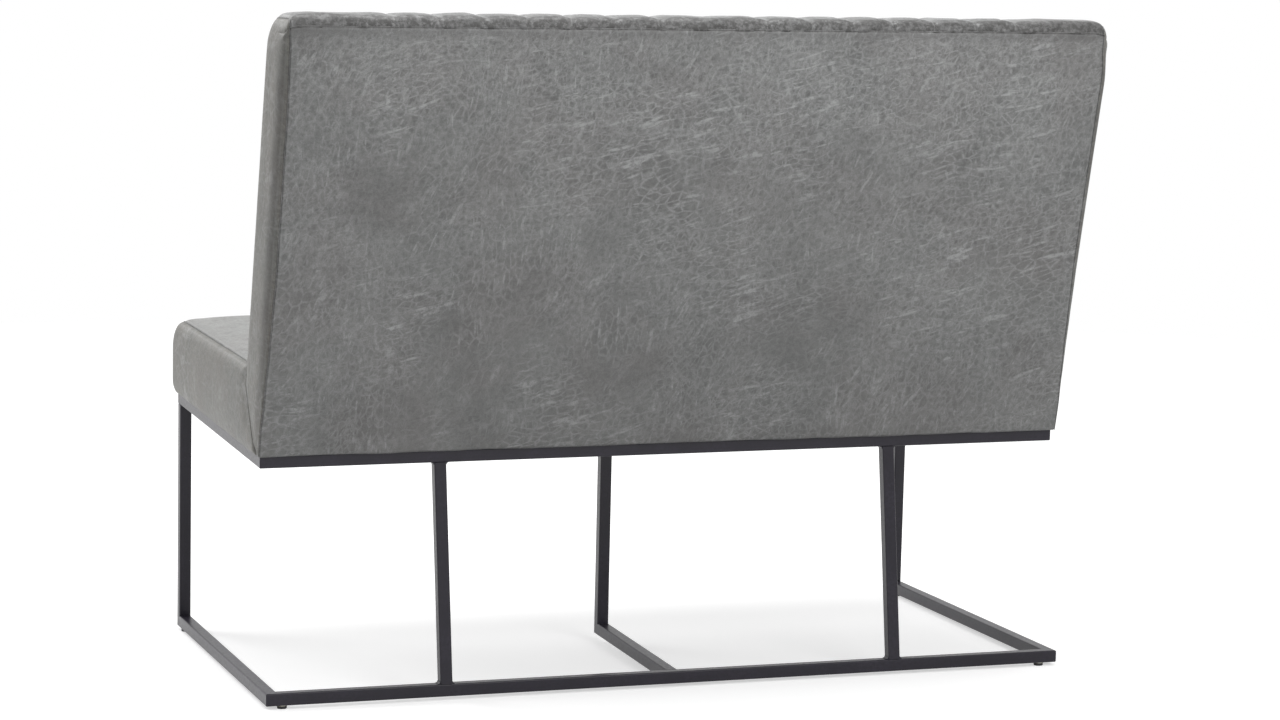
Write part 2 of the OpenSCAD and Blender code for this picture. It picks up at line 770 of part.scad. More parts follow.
// Quilting: the seams across the width, and the height of the padding between them
channel_w = (seam_x - end_panel - middle_panel) / channels;
seams = [for (i = [0:channels]) middle_panel + i * channel_w];
panel_ends = concat([-seam_x], [for (i = [channels:-1:0]) -seams[i]], seams, [seam_x]);
function is_channel(i) = i > 0 && i < len(panel_ends) - 2 && i != channels + 1;
function panel_steps(i) = is_channel(i) ? [0.18, 0.5, 0.82] : [0.04, 0.15, 0.5, 0.85, 0.96];
quilt = concat(
    [for (i = [0:len(panel_ends) - 2]) each concat(
        [[panel_ends[i], 0]],
        [for (s = panel_steps(i)) [
            lerp(panel_ends[i], panel_ends[i + 1], s), channel_puff * dome(s, is_channel(i) ? 2 : 6)]])],
    [[seam_x, 0]]);

module back_form() {
    loft([for (q = quilt) [for (e = back_outline) let(p = swollen(e, q[1])) [q[0], p[0], p[1]]]]);
}

rear_seam_u = back_u_at(0, back_h - rear_seam_drop);
core_h = back_h - top_cover_t;
core_front = back_t - front_cover_t;
core_round = back_t - back_front_r * 0.7;
back_core = [
    back_pt(rear_cover_t, back_u_above(rear_cover_t, -past)),
    back_pt(rear_cover_t, back_u_at(rear_cover_t, core_h)),
    back_pt(core_round, back_u_at(core_round, core_h)),
    back_pt(core_front, back_u_at(core_front, core_h - back_front_r * 0.7)),
    back_pt(core_front, back_u_above(core_front, -past))];

module rear_slab() {
    prism_x([
        back_pt(-back_t, back_u_above(-back_t, -back_t)), back_pt(-back_t, rear_seam_u),
        back_pt(rear_cover_t, rear_seam_u), back_pt(rear_cover_t, back_u_above(rear_cover_t, -back_t))],
        -frame_w, frame_w);
}

module back_front_cover() {
    color(leather_colour) difference() {
        placed() back_form();
        placed() prism_x(back_core, -box_x, box_x);
        placed() rear_slab();
        box_room();
    }
}

// Plain rear panel, crowned a little both ways
rear_rise = [0, 0.06, 0.25, 0.5, 0.75, 0.94, 1];
function rear_pt(x, s) =
    lerp(back_foot, back_pt(0, rear_seam_u), s) + rear_n * (rear_crown * crown_at(x) * dome(s, 6));

module back_rear_cover() {
    inner = [back_pt(rear_cover_t, rear_seam_u), back_pt(rear_cover_t, back_u_above(rear_cover_t, 0))];
    color(leather_colour) placed() loft([for (x = crown_x) concat(
        [for (s = rear_rise) [x, rear_pt(x, s)[0], rear_pt(x, s)[1]]],
        [for (p = inner) [x, p[0], p[1]]])]);
}

// Side panel of the back: it narrows to a toe at the rear corner of the seat frame
back_side_outline = concat([side_foot, back_foot], [for (e = back_upper_line) [e[0], e[1]]]);
back_spine = [
    back_pt(back_t / 2, seat_u),
    back_pt(back_t / 2, back_u_at(back_t / 2, back_h) - back_t / 2)];

module back_side_panel_left() {
    side_panel(back_side_outline, back_spine, 1);
}

module back_side_panel_right() {
    side_panel(back_side_outline, back_spine, -1);
}

// Timber frame of the back, in the back's own directions, where depth v is -Y
stile_v = rear_cover_t + rest_gap + board_t;
stile_front = stile_v + stile_d;
box_clearance = 3;
frame_u0 = box_rail_h + box_clearance;
frame_u1 = back_u_at(0, core_h) - stile_front * tan(back_lean) - box_clearance;
cross_v = upright_v + tube;

module back_block(x0, x1, v0, v1, u0, u1) {
    translate([x0, -v1, u0]) cube([x1 - x0, v1 - v0, u1 - u0]);
}

module back_stile(x) {
    color(timber_colour) in_back()
        back_block(x - stile_w / 2, x + stile_w / 2, stile_v, stile_front, frame_u0, frame_u1 - stile_w);
}

module back_left_stile() {
    back_stile(box_x - stile_w / 2);
}

module back_right_stile() {
    back_stile(stile_w / 2 - box_x);
}

module back_middle_stile() {
    back_stile(0);
}

module back_top_rail() {
    color(timber_colour) in_back() back_block(-box_x, box_x, stile_v, stile_front, frame_u1 - stile_w, frame_u1);
}

cross_rail_in = 15;
lower_cross_u = frame_u0 + cross_rail_in;
upper_cross_u = upright_len - stile_w - cross_rail_in;
back_screw_places = [for (s = [-1, 1], u = [lower_cross_u, upper_cross_u]) [s * post_x, u + stile_w / 2]];

module back_screw_holes() {
    in_back() for (p = back_screw_places) {
        translate([p[0], -(stile_front + past), p[1]]) rotate([-90, 0, 0])
            cylinder(d = back_screw_hole_d, h = past + stile_front - cross_v + half_tube, $fn = fine);
        translate([p[0], -(stile_front + past), p[1]]) rotate([-90, 0, 0])
            cylinder(d = screw_head_d + 2 * screw_gap, h = counterbore + past, $fn = fine);
    }
}

module back_cross_rail(u) {
    inner = box_x - stile_w;
    color(timber_colour) difference() {
        in_back() for (s = [-1, 1])
            back_block(s > 0 ? stile_w / 2 : -inner, s > 0 ? inner : -stile_w / 2, cross_v, stile_front, u, u + stile_w);
        back_screw_holes();
    }
}

module back_lower_cross_rail() {
    back_cross_rail(lower_cross_u);
}

module back_upper_cross_rail() {
    back_cross_rail(upper_cross_u);
}

module back_screws() {
    color(zinc_colour) in_back() for (p = back_screw_places)
        translate([p[0], counterbore - stile_front, p[1]]) rotate([-90, 0, 0]) {
            translate([0, 0, -screw_head_h]) cylinder(d = screw_head_d, h = screw_head_h, $fn = fine);
            cylinder(d = screw_d, h = stile_front - counterbore - cross_v + 2 * tube_wall, $fn = fine);
        }
}

module back_webbing() {
    u_low = frame_u0 + webbing_w / 2;
    u_high = frame_u1 - stile_w - webbing_w / 2;
    color(webbing_colour) in_back() for (i = [0:back_straps - 1]) let(
        u = lerp(u_low, u_high, i / (back_straps - 1)))
        back_block(-box_x + strap_end, box_x - strap_end,
            stile_front, stile_front + webbing_t, u - webbing_w / 2, u + webbing_w / 2);
}

module back_rear_board() {
    color(board_colour) in_back()
        back_block(-box_x, box_x, rear_cover_t + rest_gap, stile_v, frame_u0, frame_u1);
}

module back_foam() {
    v0 = stile_front + webbing_t;
    u0 = back_u_above(v0, foam_under - tube + box_clearance);
    color(foam_colour) intersection() {
        placed() prism_x(back_core, -box_x, box_x);
        in_back() back_block(-box_x, box_x, v0, back_t, u0, 2 * back_h);
    }
}

// The whole stands with the middle of its depth over the origin
all_y = concat(
    [for (e = seat_outline) swollen(e, seat_lift(e))[0]],
    [for (e = back_upper_line) swollen(e, channel_puff)[0]],
    [for (s = rear_rise) rear_pt(0, s)[0]],
    [leg_foot[0], base_back]);
middle_y = (min(all_y) + max(all_y)) / 2;

seat_frame_front_rail();
seat_frame_rear_rail();
seat_frame_left_rail();
seat_frame_right_rail();
seat_frame_middle_rail();
front_leg_left();
front_leg_right();
middle_leg();
rear_post_left();
rear_post_right();
floor_rail_left();
floor_rail_right();
floor_rail_middle();
floor_rail_rear();
back_upright_left();
back_upright_right();
mounting_tabs();
weld_beads();
threaded_inserts();
glide_base_front_left();
glide_base_front_right();
glide_base_rear_left();
glide_base_rear_right();
glide_stud_front_left();
glide_stud_front_right();
glide_stud_rear_left();
glide_stud_rear_right();
seat_box_front_rail();
seat_box_rear_rail();
seat_box_left_rail();
seat_box_right_rail();
seat_box_middle_rail();
corner_blocks();
seat_webbing();
seat_foam();
seat_cover();
seat_side_panel_left();
seat_side_panel_right();
dust_cover();
dust_cover_staples();
seat_screws();
back_left_stile();
back_right_stile();
back_middle_stile();
back_top_rail();
back_upper_cross_rail();
back_lower_cross_rail();
back_webbing();
back_rear_board();
back_foam();
back_front_cover();
back_rear_cover();
back_side_panel_left();
back_side_panel_right();
back_screws();
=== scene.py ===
"""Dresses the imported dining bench: leather panels, stitching, finishes, floor, light and camera."""
import json
import logging
from collections.abc import Callable, Mapping, Sequence
from dataclasses import dataclass
from enum import Enum
from functools import cached_property
from math import acos, ceil, cos, exp, pi, radians, sin, sqrt, tan

import bpy
from mathutils import Matrix, Vector, noise


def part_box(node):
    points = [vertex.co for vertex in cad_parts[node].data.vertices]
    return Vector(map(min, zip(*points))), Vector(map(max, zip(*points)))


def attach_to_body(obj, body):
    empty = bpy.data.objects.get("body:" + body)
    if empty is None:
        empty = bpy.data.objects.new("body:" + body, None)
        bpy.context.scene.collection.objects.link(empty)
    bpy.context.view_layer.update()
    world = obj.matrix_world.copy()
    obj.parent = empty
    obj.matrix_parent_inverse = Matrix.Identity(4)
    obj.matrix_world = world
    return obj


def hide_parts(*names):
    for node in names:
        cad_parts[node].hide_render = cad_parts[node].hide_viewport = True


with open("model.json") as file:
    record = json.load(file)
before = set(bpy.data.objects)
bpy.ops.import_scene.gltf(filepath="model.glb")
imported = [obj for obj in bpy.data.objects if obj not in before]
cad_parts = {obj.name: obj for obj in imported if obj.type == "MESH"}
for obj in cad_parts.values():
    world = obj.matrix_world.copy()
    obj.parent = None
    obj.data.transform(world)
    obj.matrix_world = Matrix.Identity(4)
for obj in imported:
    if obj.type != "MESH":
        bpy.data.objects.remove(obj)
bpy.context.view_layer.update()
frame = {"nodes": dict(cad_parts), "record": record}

log = logging.getLogger("bench")
MM = 0.001
ON_SEAM = 0.4 * MM

Colour = tuple[float, float, float, float]
Stops = Sequence[tuple[float, float]]
Row = list[Vector]
Numbers = list[list[float]]
Face = tuple[int, ...]
Spot = tuple[float, float, float]
Socket = bpy.types.NodeSocket
Sockets = Mapping[str, Socket]
Values = Mapping[str | int, object]

WHITE: Colour = (1.0, 1.0, 1.0, 1.0)


def srgb(red: float, green: float, blue: float) -> Colour:
    """Turns a colour as a screen shows it into the linear values that shaders take.

    Args:
        red: Red, 0 to 255.
        green: Green, 0 to 255.
        blue: Blue, 0 to 255.

    Returns:
        The linear colour with full alpha.
    """
    def linear(value: float) -> float:
        """One channel in linear light."""
        share = value / 255
        return share / 12.92 if share <= 0.04045 else ((share + 0.055) / 1.055) ** 2.4

    return (linear(red), linear(green), linear(blue), 1.0)


def lerp(start: float, end: float, share: float) -> float:
    """The value a share of the way from start to end."""
    return start + (end - start) * share


def ease(share: float) -> float:
    """A share from 0 to 1 with soft ends."""
    held = min(max(share, 0.0), 1.0)
    return held * held * (3 - 2 * held)


def dome(share: float, power: float) -> float:
    """A crown over 0 to 1: nothing at the ends and full between, with shoulders of a given power."""
    return sqrt(max(0.0, 1 - abs(2 * share - 1) ** power))


def along_stops(value: float, stops: Stops) -> float:
    """Reads a soft curve through a few stops.

    Args:
        value: Where to read it.
        stops: Pairs of place and value, in order.

    Returns:
        The curve's value there, and its end values outside.
    """
    for (here, low), (there, high) in zip(stops, stops[1:]):
        if value <= there:
            return lerp(low, high, ease((value - here) / (there - here)))
    return stops[-1][1]


@dataclass(frozen=True)
class PathPoint:
    """A point of a side view: its depth and height, the way out of the cushion, and its run."""

    at: Vector
    out: Vector
    run: float


def rounded_path(corners: Sequence[tuple[Vector, float]], step: float) -> list[PathPoint]:
    """Walks along straight lines with rounded corners between them, with the outside on the left.

    Args:
        corners: Each corner's depth and height, and the radius that rounds it.
        step: Longest step between two points.

    Returns:
        The points, with their run in metres.
    """
    places: list[tuple[Vector, Vector]] = []
    here = corners[0][0]

    def straight(start: Vector, end: Vector) -> None:
        """Adds the points of a straight stretch, without its end.

        Args:
            start: Where it starts.
            end: Where it ends.
        """
        way = (end - start).normalized()
        count = max(1, ceil((end - start).length / step))
        for i in range(count):
            places.append((start.lerp(end, i / count), Vector((way.y, -way.x))))

    for (before, _), (corner, radius), (after, _) in zip(corners, corners[1:], corners[2:]):
        to_before = (before - corner).normalized()
        to_after = (after - corner).normalized()
        half = acos(max(-1.0, min(1.0, to_before.dot(to_after)))) / 2
        start = corner + to_before * (radius / tan(half))
        end = corner + to_after * (radius / tan(half))
        centre = corner + (to_before + to_after).normalized() * (radius / sin(half))
        straight(here, start)
        turn = pi - 2 * half
        count = max(4, ceil(radius * turn / (0.6 * step)))
        first = (start - centre).normalized()
        last = (end - centre).normalized()
        for i in range(count):
            share = i / count
            spoke = (first * sin((1 - share) * turn) + last * sin(share * turn)) / sin(turn)
            places.append((centre + spoke * radius, spoke))
        here = end
    straight(here, corners[-1][0])
    places.append((corners[-1][0].copy(), places[-1][1].copy()))
    points: list[PathPoint] = []
    run = 0.0
    for i, (place, out) in enumerate(places):
        run += (place - places[i - 1][0]).length if i else 0.0
        points.append(PathPoint(place, out, run))
    return points


def spread(line: Sequence[Vector], shares: Sequence[float]) -> Row:
    """Places points along a line.

    Args:
        line: The line's own points.
        shares: Where each new point lies, as a share of the line's length.

    Returns:
        The new points.
    """
    runs = [0.0]
    for a, b in zip(line, line[1:]):
        runs.append(runs[-1] + (b - a).length)
    made: Row = []
    piece = 0
    for share in shares:
        want = share * runs[-1]
        while piece < len(line) - 2 and runs[piece + 1] < want:
            piece += 1
        length = runs[piece + 1] - runs[piece]
        made.append(line[piece].lerp(line[piece + 1], (want - runs[piece]) / length if length else 0.0))
    return made


def packed_ends(count: int, pack: float) -> list[float]:
    """Shares from 0 to 1 that stand closer together at both ends.

    Args:
        count: Number of steps.
        pack: From 0, even, to 1, as close as on a half circle.

    Returns:
        One more share than steps.
    """
    return [lerp(i / count, (1 - cos(pi * i / count)) / 2, pack) for i in range(count + 1)]


def distance_to(point: Vector, line: Sequence[Vector]) -> float:
    """The shortest way from a point to a line.

    Args:
        point: The point.
        line: The line's own points.

    Returns:
        The distance.
    """
    best = float("inf")
    for a, b in zip(line, line[1:]):
        way = b - a
        share = max(0.0, min(1.0, (point - a).dot(way) / max(way.length_squared, 1e-12)))
        best = min(best, (a + way * share - point).length_squared)
    return sqrt(best)


def bell(distance: float, reach: float) -> float:
    """1 at no distance, falling off softly past a reach."""
    return exp(-(distance / reach) ** 2)


def grid_faces(rows: int, across: int, first: int = 0) -> list[Face]:
    """The faces of a grid of points.

    Args:
        rows: Its number of rows.
        across: Its number of points in a row.
        first: The number of its first point.

    Returns:
        The faces, row by row.
    """
    return [(a, a + across, a + across + 1, a + 1) for j in range(rows - 1)
            for a in range(first + j * across, first + (j + 1) * across - 1)]


def ring_faces(rings: int, sides: int, first: int = 0) -> list[Face]:
    """The faces between rings of points.

    Args:
        rings: Number of rings.
        sides: Number of points in a ring.
        first: The number of the first ring's first point.

    Returns:
        The faces, ring by ring.
    """
    return [(a + k, a + (k + 1) % sides, a + sides + (k + 1) % sides, a + sides + k)
            for a in range(first, first + (rings - 1) * sides, sides) for k in range(sides)]


def rod_faces(rings: int, sides: int, first: int = 0) -> list[Face]:
    """The faces of rings of points that are closed at both ends.

    Args:
        rings: Number of rings.
        sides: Number of points in a ring.
        first: The number of the first ring's first point.

    Returns:
        The faces, ring by ring, and then those of the ends.
    """
    numbers = range(first, first + rings * sides)
    return [*ring_faces(rings, sides, first), tuple(numbers[:sides][::-1]), tuple(numbers[-sides:])]


def turned_over(faces: Sequence[Face]) -> list[Face]:
    """Four-sided faces with their other side out."""
    return [(a, d, c, b) for a, b, c, d in faces]


@dataclass(frozen=True)
class BenchShape:
    """Sizes that the cushions share with the steel frame, in metres, as the part's source has them."""

    width: float = 1.220
    depth: float = 0.576
    height: float = 0.338
    tilt: float = radians(2)
    tube: float = 0.018
    base_back: float = 0.041
    seam_in: float = 0.006
    seat_over: float = 0.020
    seat_front_h: float = 0.113
    seat_back_h: float = 0.120
    back_lean: float = radians(15.5)
    back_t: float = 0.111
    back_over: float = 0.008
    back_h: float = 0.618
    rear_seam_drop: float = 0.012
    side_toe: float = 0.002
    crevice: float = 0.045
    leather: float = 1.3 * MM
    step: float = 0.008
    columns: int = 140
    columns_pack: float = 0.35
    bulge: float = 0.013
    fold_fill: float = 0.0125
    fold_reach: float = 0.018
    corner_r: float = 0.024
    corner_down: float = 0.060
    top_slope: float = 0.0058
    slope_down: float = 0.300
    worn_corner: float = 0.011
    worn_in: float = 0.050
    worn_down: float = 0.090
    # How far the seam distance is pushed out where a seam gets no painted seam shade or highlight.
    seam_shade_offset: float = 0.006
    rear_depth: float = 0.030
    seam_drift: Stops = (
        (0.34, 0.009), (0.39, 0.009), (0.44, 0.0065), (0.505, 0.004), (0.556, 0.0025), (0.62, 0.0005),
        (0.85, 0.0), (0.93, 0.0015), (0.96, 0.004))

    @property
    def seam_x(self) -> float:
        """Half the width between the side seams."""
        return self.width / 2 - self.seam_in

    @cached_property
    def even_places(self) -> list[float]:
        """Where the points of a plain panel stand across the bench."""
        return [lerp(-self.seam_x, self.seam_x, s) for s in packed_ends(self.columns, self.columns_pack)]

    @cached_property
    def shift(self) -> float:
        """How far the source's depths are moved to stand over the middle of the part."""
        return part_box("floor_rail_rear")[1].y - self.base_back

    def seat_pt(self, y: float, z: float) -> Vector:
        """A point given in the sloping seat frame, y to the back and z up."""
        return Vector((self.shift + y * cos(self.tilt) + z * sin(self.tilt),
                       self.height - y * sin(self.tilt) + z * cos(self.tilt)))

    def back_pt(self, v: float, u: float) -> Vector:
        """A point given in the back, v forward from its rear face and u up along it."""
        foot, lean = self.back_foot, self.back_lean
        return Vector((foot.x + u * sin(lean) - v * cos(lean), foot.y + u * cos(lean) + v * sin(lean)))

    def back_u_above(self, v: float, h: float) -> float:
        """Height along the back, at depth v, of a point that stands h above the seat frame's top."""
        lean = self.back_lean - self.tilt
        return (h - v * sin(lean)) / cos(lean)

    def back_u_at(self, v: float, h: float) -> float:
        """Height along the back, at depth v, of a point that stands h above the back's foot."""
        return (h - v * sin(self.back_lean)) / cos(self.back_lean)

    @cached_property
    def seat_rear_top(self) -> Vector:
        """Where the seat's top meets the front of the back."""
        return self.back_pt(self.back_t, self.back_u_above(self.back_t, self.seat_back_h))

    @cached_property
    def side_foot(self) -> Vector:
        """Where the seam between the seat's and the back's side panels reaches the steel."""
        return self.seat_pt(-self.side_toe, self.tube)

    @cached_property
    def back_foot(self) -> Vector:
        """The lowest point of the back's rear face."""
        return self.seat_pt(self.back_over, self.tube)

    @cached_property
    def rear_seam(self) -> Vector:
        """The seam below the top of the back's rear face."""
        return self.back_pt(0.0, self.back_u_at(0.0, self.back_h - self.rear_seam_drop))

    def depth_in_back(self, flat: Vector) -> float:
        """How far in front of the back's rear face a point of the side view lies."""
        way = flat - self.back_foot
        return way.y * sin(self.back_lean) - way.x * cos(self.back_lean)

    def below_top(self, z: float) -> float:
        """How far a height lies below the back's top."""
        return self.back_foot.y + self.back_h - z

    def fill_at(self, flat: Vector) -> float:
        """How far the padding lifts the fold between the seat's and the back's side panels.

        Args:
            flat: A point of the side view.

        Returns:
            The lift, the same for both panels, and nothing at their other seams.
        """
        off = distance_to(flat, [self.side_foot, self.seat_rear_top])
        below = (self.seat_rear_top - flat).dot(Vector((sin(self.tilt), cos(self.tilt))))
        inside = ease((self.depth_in_back(flat) - 2 * MM) / (24 * MM))
        return self.fold_fill * bell(off, self.fold_reach) * ease(below / (30 * MM)) * inside

    def settled(self, point: Vector) -> Vector:
        """Moves a point as the padding does: it spreads the foot, rounds the corners and slopes the top.

        Args:
            point: A point of the cover as it was cut.

        Returns:
            Where the point lies on the bench.
        """
        rear = 1 - ease(self.depth_in_back(Vector((point.y, point.z))) / self.rear_depth)
        side = 1.0 if point.x > 0 else -1.0
        width = abs(point.x)
        over = min(max((width - self.seam_x) / self.bulge, 0.0), 1.0)
        drift = along_stops(point.z, self.seam_drift) * rear * (1 - over) * min(width / self.seam_x, 1.0)
        past = min(max(width - (self.seam_x + self.bulge - self.corner_r), 0.0), 0.95 * self.corner_r)
        drop = self.corner_r - sqrt(self.corner_r ** 2 - past ** 2)
        down = self.below_top(point.z)
        rise = self.top_slope * point.x * ease(1 - down / self.slope_down)
        rise -= drop * ease(1 - down / self.corner_down)
        if side < 0:
            outer = ease((width - self.seam_x + self.worn_in) / self.worn_in)
            drift -= self.worn_corner * ease(1 - down / self.worn_down) * outer * rear
        return Vector((point.x + side * drift, point.y, point.z + rise))


class Side(Enum):
    """A side of the bench, by the sign of its X."""

    LEFT = 1
    RIGHT = -1

    @property
    def label(self) -> str:
        """The side's word in the names of pieces."""
        return self.name.lower()


class Hold(Enum):
    """How firmly the cloth simulation holds a point of a panel."""

    SEAM = 1.0
    FILLING = 0.22

    @classmethod
    def at(cls, distance: float) -> "Hold":
        """The hold at a distance from the nearest seam."""
        return cls.SEAM if distance < ON_SEAM else cls.FILLING


def new_piece(name: str, points: Sequence[Vector], faces: Sequence[Sequence[int]]) -> bpy.types.Object:
    """Makes a smooth mesh object and links it to the scene.

    Args:
        name: The piece's name.
        points: Its points, in metres.
        faces: Its faces, as numbers of points.

    Returns:
        The new object.
    """
    mesh = bpy.data.meshes.new(name)
    mesh.from_pydata([tuple(p) for p in points], [], [tuple(f) for f in faces])
    mesh.validate()
    mesh.update()
    mesh.shade_smooth()
    piece = bpy.data.objects.new(name, mesh)
    bpy.context.scene.collection.objects.link(piece)
    return piece


def give_values(piece: bpy.types.Object, name: str, values: Sequence[float]) -> None:
    """Gives a piece a number at each of its points."""
    piece.data.attributes.new(name, "FLOAT", "POINT").data.foreach_set("value", values)


@dataclass(frozen=True)
class ClothPress:
    """A short cloth simulation that settles a leather panel over its filling."""

    pressure: float = 1.5
    excess: float = 0.015
    stiffness: float = 30.0
    bending: float = 3.0
    cap: float = 0.006
    frames: int = 16

    def settle(self, piece: bpy.types.Object) -> None:
        """Runs the simulation and keeps its result in the mesh, no point further than the cap.

        Args:
            piece: The panel, with its holds in the group hold.
        """
        scene = bpy.context.scene
        start = [v.co.copy() for v in piece.data.vertices]
        modifier = piece.modifiers.new("Cloth", "CLOTH")
        cloth = modifier.settings
        cloth.quality = 5
        cloth.mass = 0.3
        cloth.air_damping = 4.0
        cloth.tension_stiffness = self.stiffness
        cloth.compression_stiffness = self.stiffness
        cloth.shear_stiffness = self.stiffness / 2
        cloth.bending_stiffness = self.bending
        cloth.vertex_group_mass = "hold"
        cloth.pin_stiffness = 1.0
        cloth.shrink_min = -self.excess
        cloth.use_pressure = True
        cloth.uniform_pressure_force = self.pressure
        cloth.effector_weights.gravity = 0.0
        modifier.collision_settings.use_collision = False
        modifier.point_cache.frame_start = 1
        modifier.point_cache.frame_end = self.frames
        for number in range(1, self.frames + 1):
            scene.frame_set(number)
        settled = piece.evaluated_get(bpy.context.evaluated_depsgraph_get()).data
        moves = [v.co - s for v, s in zip(settled.vertices, start)]
        piece.modifiers.remove(modifier)
        for vertex, first, move in zip(piece.data.vertices, start, moves):
            vertex.co = first + (move if move.length <= self.cap else move.normalized() * self.cap)
        piece.data.update()
        scene.frame_set(1)


@dataclass(frozen=True)
class Puckers:
    """Small folds that a sewn seam draws into leather, and the soft waves of the filling under it."""

    fold: float = 0.7 * MM
    fold_length: float = 13 * MM
    fold_reach: float = 14 * MM
    wave: float = 1.2 * MM
    wave_length: float = 95 * MM
    seed: float = 0.0

    def lift(self, point: Vector, distance: float) -> float:
        """How far the leather stands off its plain form.

        Args:
            point: Where, in metres.
            distance: How far that is from the nearest seam.

        Returns:
            The lift, in metres, and nothing on the seam itself.
        """
        shifted = point + Vector((self.seed, self.seed, self.seed))
        folds = noise.noise(shifted / self.fold_length) * exp(-distance / self.fold_reach)
        waves = noise.fractal(shifted / self.wave_length, 1.0, 2.0, 3)
        free = 1 - exp(-distance / (4 * MM))
        return free * (self.fold * folds + self.wave * waves * (1 - exp(-distance / (40 * MM))))


@dataclass(frozen=True)
class Graph:
    """A node tree with short ways to add its nodes and join them."""

    tree: bpy.types.NodeTree

    def fill(self, node: bpy.types.Node, inputs: Values) -> None:
        """Sets a node's sockets, or links them.

        Args:
            node: The node.
            inputs: What each socket gets, by its name or number: a value, or an output to link.
        """
        for key, value in inputs.items():
            if isinstance(value, bpy.types.NodeSocket):
                self.tree.links.new(value, node.inputs[key])
            else:
                node.inputs[key].default_value = value

    def add(self, kind: str, inputs: Values, **settings: object) -> bpy.types.Node:
        """Adds a node.

        Args:
            kind: The node's type, without the words in front that all shader nodes share.
            inputs: Sockets to set or to link.
            **settings: The node's own properties.

        Returns:
            The new node.
        """
        node = self.tree.nodes.new("ShaderNode" + kind)
        for key, value in settings.items():
            setattr(node, key, value)
        self.fill(node, inputs)
        return node

    def math(self, operation: str, first: object, second: object) -> Socket:
        """The result of a Math node."""
        return self.add("Math", {0: first, 1: second}, operation=operation).outputs[0]

    def times(self, first: object, second: object) -> Socket:
        """The product of two numbers."""
        return self.math("MULTIPLY", first, second)

    def most(self, first: object, second: object) -> Socket:
        """The larger of two numbers."""
        return self.math("MAXIMUM", first, second)

    def vector(self, operation: str, inputs: Values) -> Socket:
        """The result of a Vector Math node."""
        return self.add("VectorMath", inputs, operation=operation).outputs[0]

    def noise(self, place: Socket, scale: object, detail: float, roughness: float = 0.5,
              distortion: float = 0.0) -> Socket:
        """The value of a Noise texture, about 0.5 on average."""
        return self.add("TexNoise", {"Vector": place, "Scale": scale, "Detail": detail,
                                     "Roughness": roughness, "Distortion": distortion}).outputs[0]

    def drift(self, place: Socket, scale: float) -> Socket:
        """Three noise values in one, as a vector."""
        return self.add("TexNoise", {"Vector": place, "Scale": scale, "Detail": 2.0}).outputs[1]

    def cell_edges(self, place: Socket, scale: object, randomness: float = 1.0) -> Socket:
        """How far a place lies from the edges of a web of cells."""
        return self.add("TexVoronoi", {"Vector": place, "Scale": scale, "Randomness": randomness},
                        feature="DISTANCE_TO_EDGE").outputs[0]

    def spanned(self, value: Socket, low: float, high: float, to_low: float = 0.0,
                to_high: float = 1.0) -> Socket:
        """A value's span from low to high, turned softly into another span."""
        return self.add("MapRange", {"Value": value, "From Min": low, "From Max": high, "To Min": to_low,
                                     "To Max": to_high}, interpolation_type="SMOOTHSTEP").outputs[0]

    def mixed(self, share: object, first: object, second: object, blend: str = "MIX") -> Socket:
        """The colour between two colours."""
        return self.add("Mix", {0: share, 6: first, 7: second}, data_type="RGBA", blend_type=blend).outputs[2]

    def bumped(self, height: Socket, strength: float, depth: float) -> Socket:
        """The normal of a Bump node over a height."""
        return self.add("Bump", {"Height": height, "Strength": strength, "Distance": depth}).outputs[0]

    def point_value(self, name: str) -> Socket:
        """A number that the mesh carries at each of its points."""
        return self.add("Attribute", {}, attribute_name=name).outputs["Fac"]

    def seen(self) -> Socket:
        """1 where the camera looks straight at something, or by way of a mirror or glass, and else 0."""
        rays = self.add("LightPath", {}).outputs
        return self.most(rays["Is Camera Ray"], self.most(rays["Is Glossy Ray"], rays["Is Transmission Ray"]))


class Group:
    """A shader node group in making: it takes a place and some numbers, and puts out numbers."""

    def __init__(self, name: str, numbers: dict[str, float], outputs: Sequence[str]) -> None:
        """Starts the group.

        Args:
            name: Its name.
            numbers: Its number inputs, each with its usual value.
            outputs: Its outputs.
        """
        self.tree = bpy.data.node_groups.new(name, "ShaderNodeTree")
        self.tree.interface.new_socket(name="Vector", in_out="INPUT", socket_type="NodeSocketVector")
        for label, usual in numbers.items():
            socket = self.tree.interface.new_socket(name=label, in_out="INPUT", socket_type="NodeSocketFloat")
            socket.default_value = usual
        for label in outputs:
            self.tree.interface.new_socket(name=label, in_out="OUTPUT", socket_type="NodeSocketFloat")
        self.graph = Graph(self.tree)
        self.given = self.tree.nodes.new("NodeGroupInput").outputs
        self.leave = self.tree.nodes.new("NodeGroupOutput")

    def scaled(self, stretch: tuple[float, float, float] = (1.0, 1.0, 1.0)) -> Socket:
        """The place, stretched along its axes and then scaled by the group's Scale.

        Args:
            stretch: How much finer the pattern is along each axis.

        Returns:
            The scaled place.
        """
        drawn = self.graph.vector("MULTIPLY", {0: self.given["Vector"], 1: stretch})
        return self.graph.vector("SCALE", {0: drawn, "Scale": self.given["Scale"]})

    def finished(self, outputs: Values) -> bpy.types.NodeTree:
        """Links the group's outputs.

        Args:
            outputs: The socket for each.

        Returns:
            The finished group.
        """
        self.graph.fill(self.leave, outputs)
        return self.tree


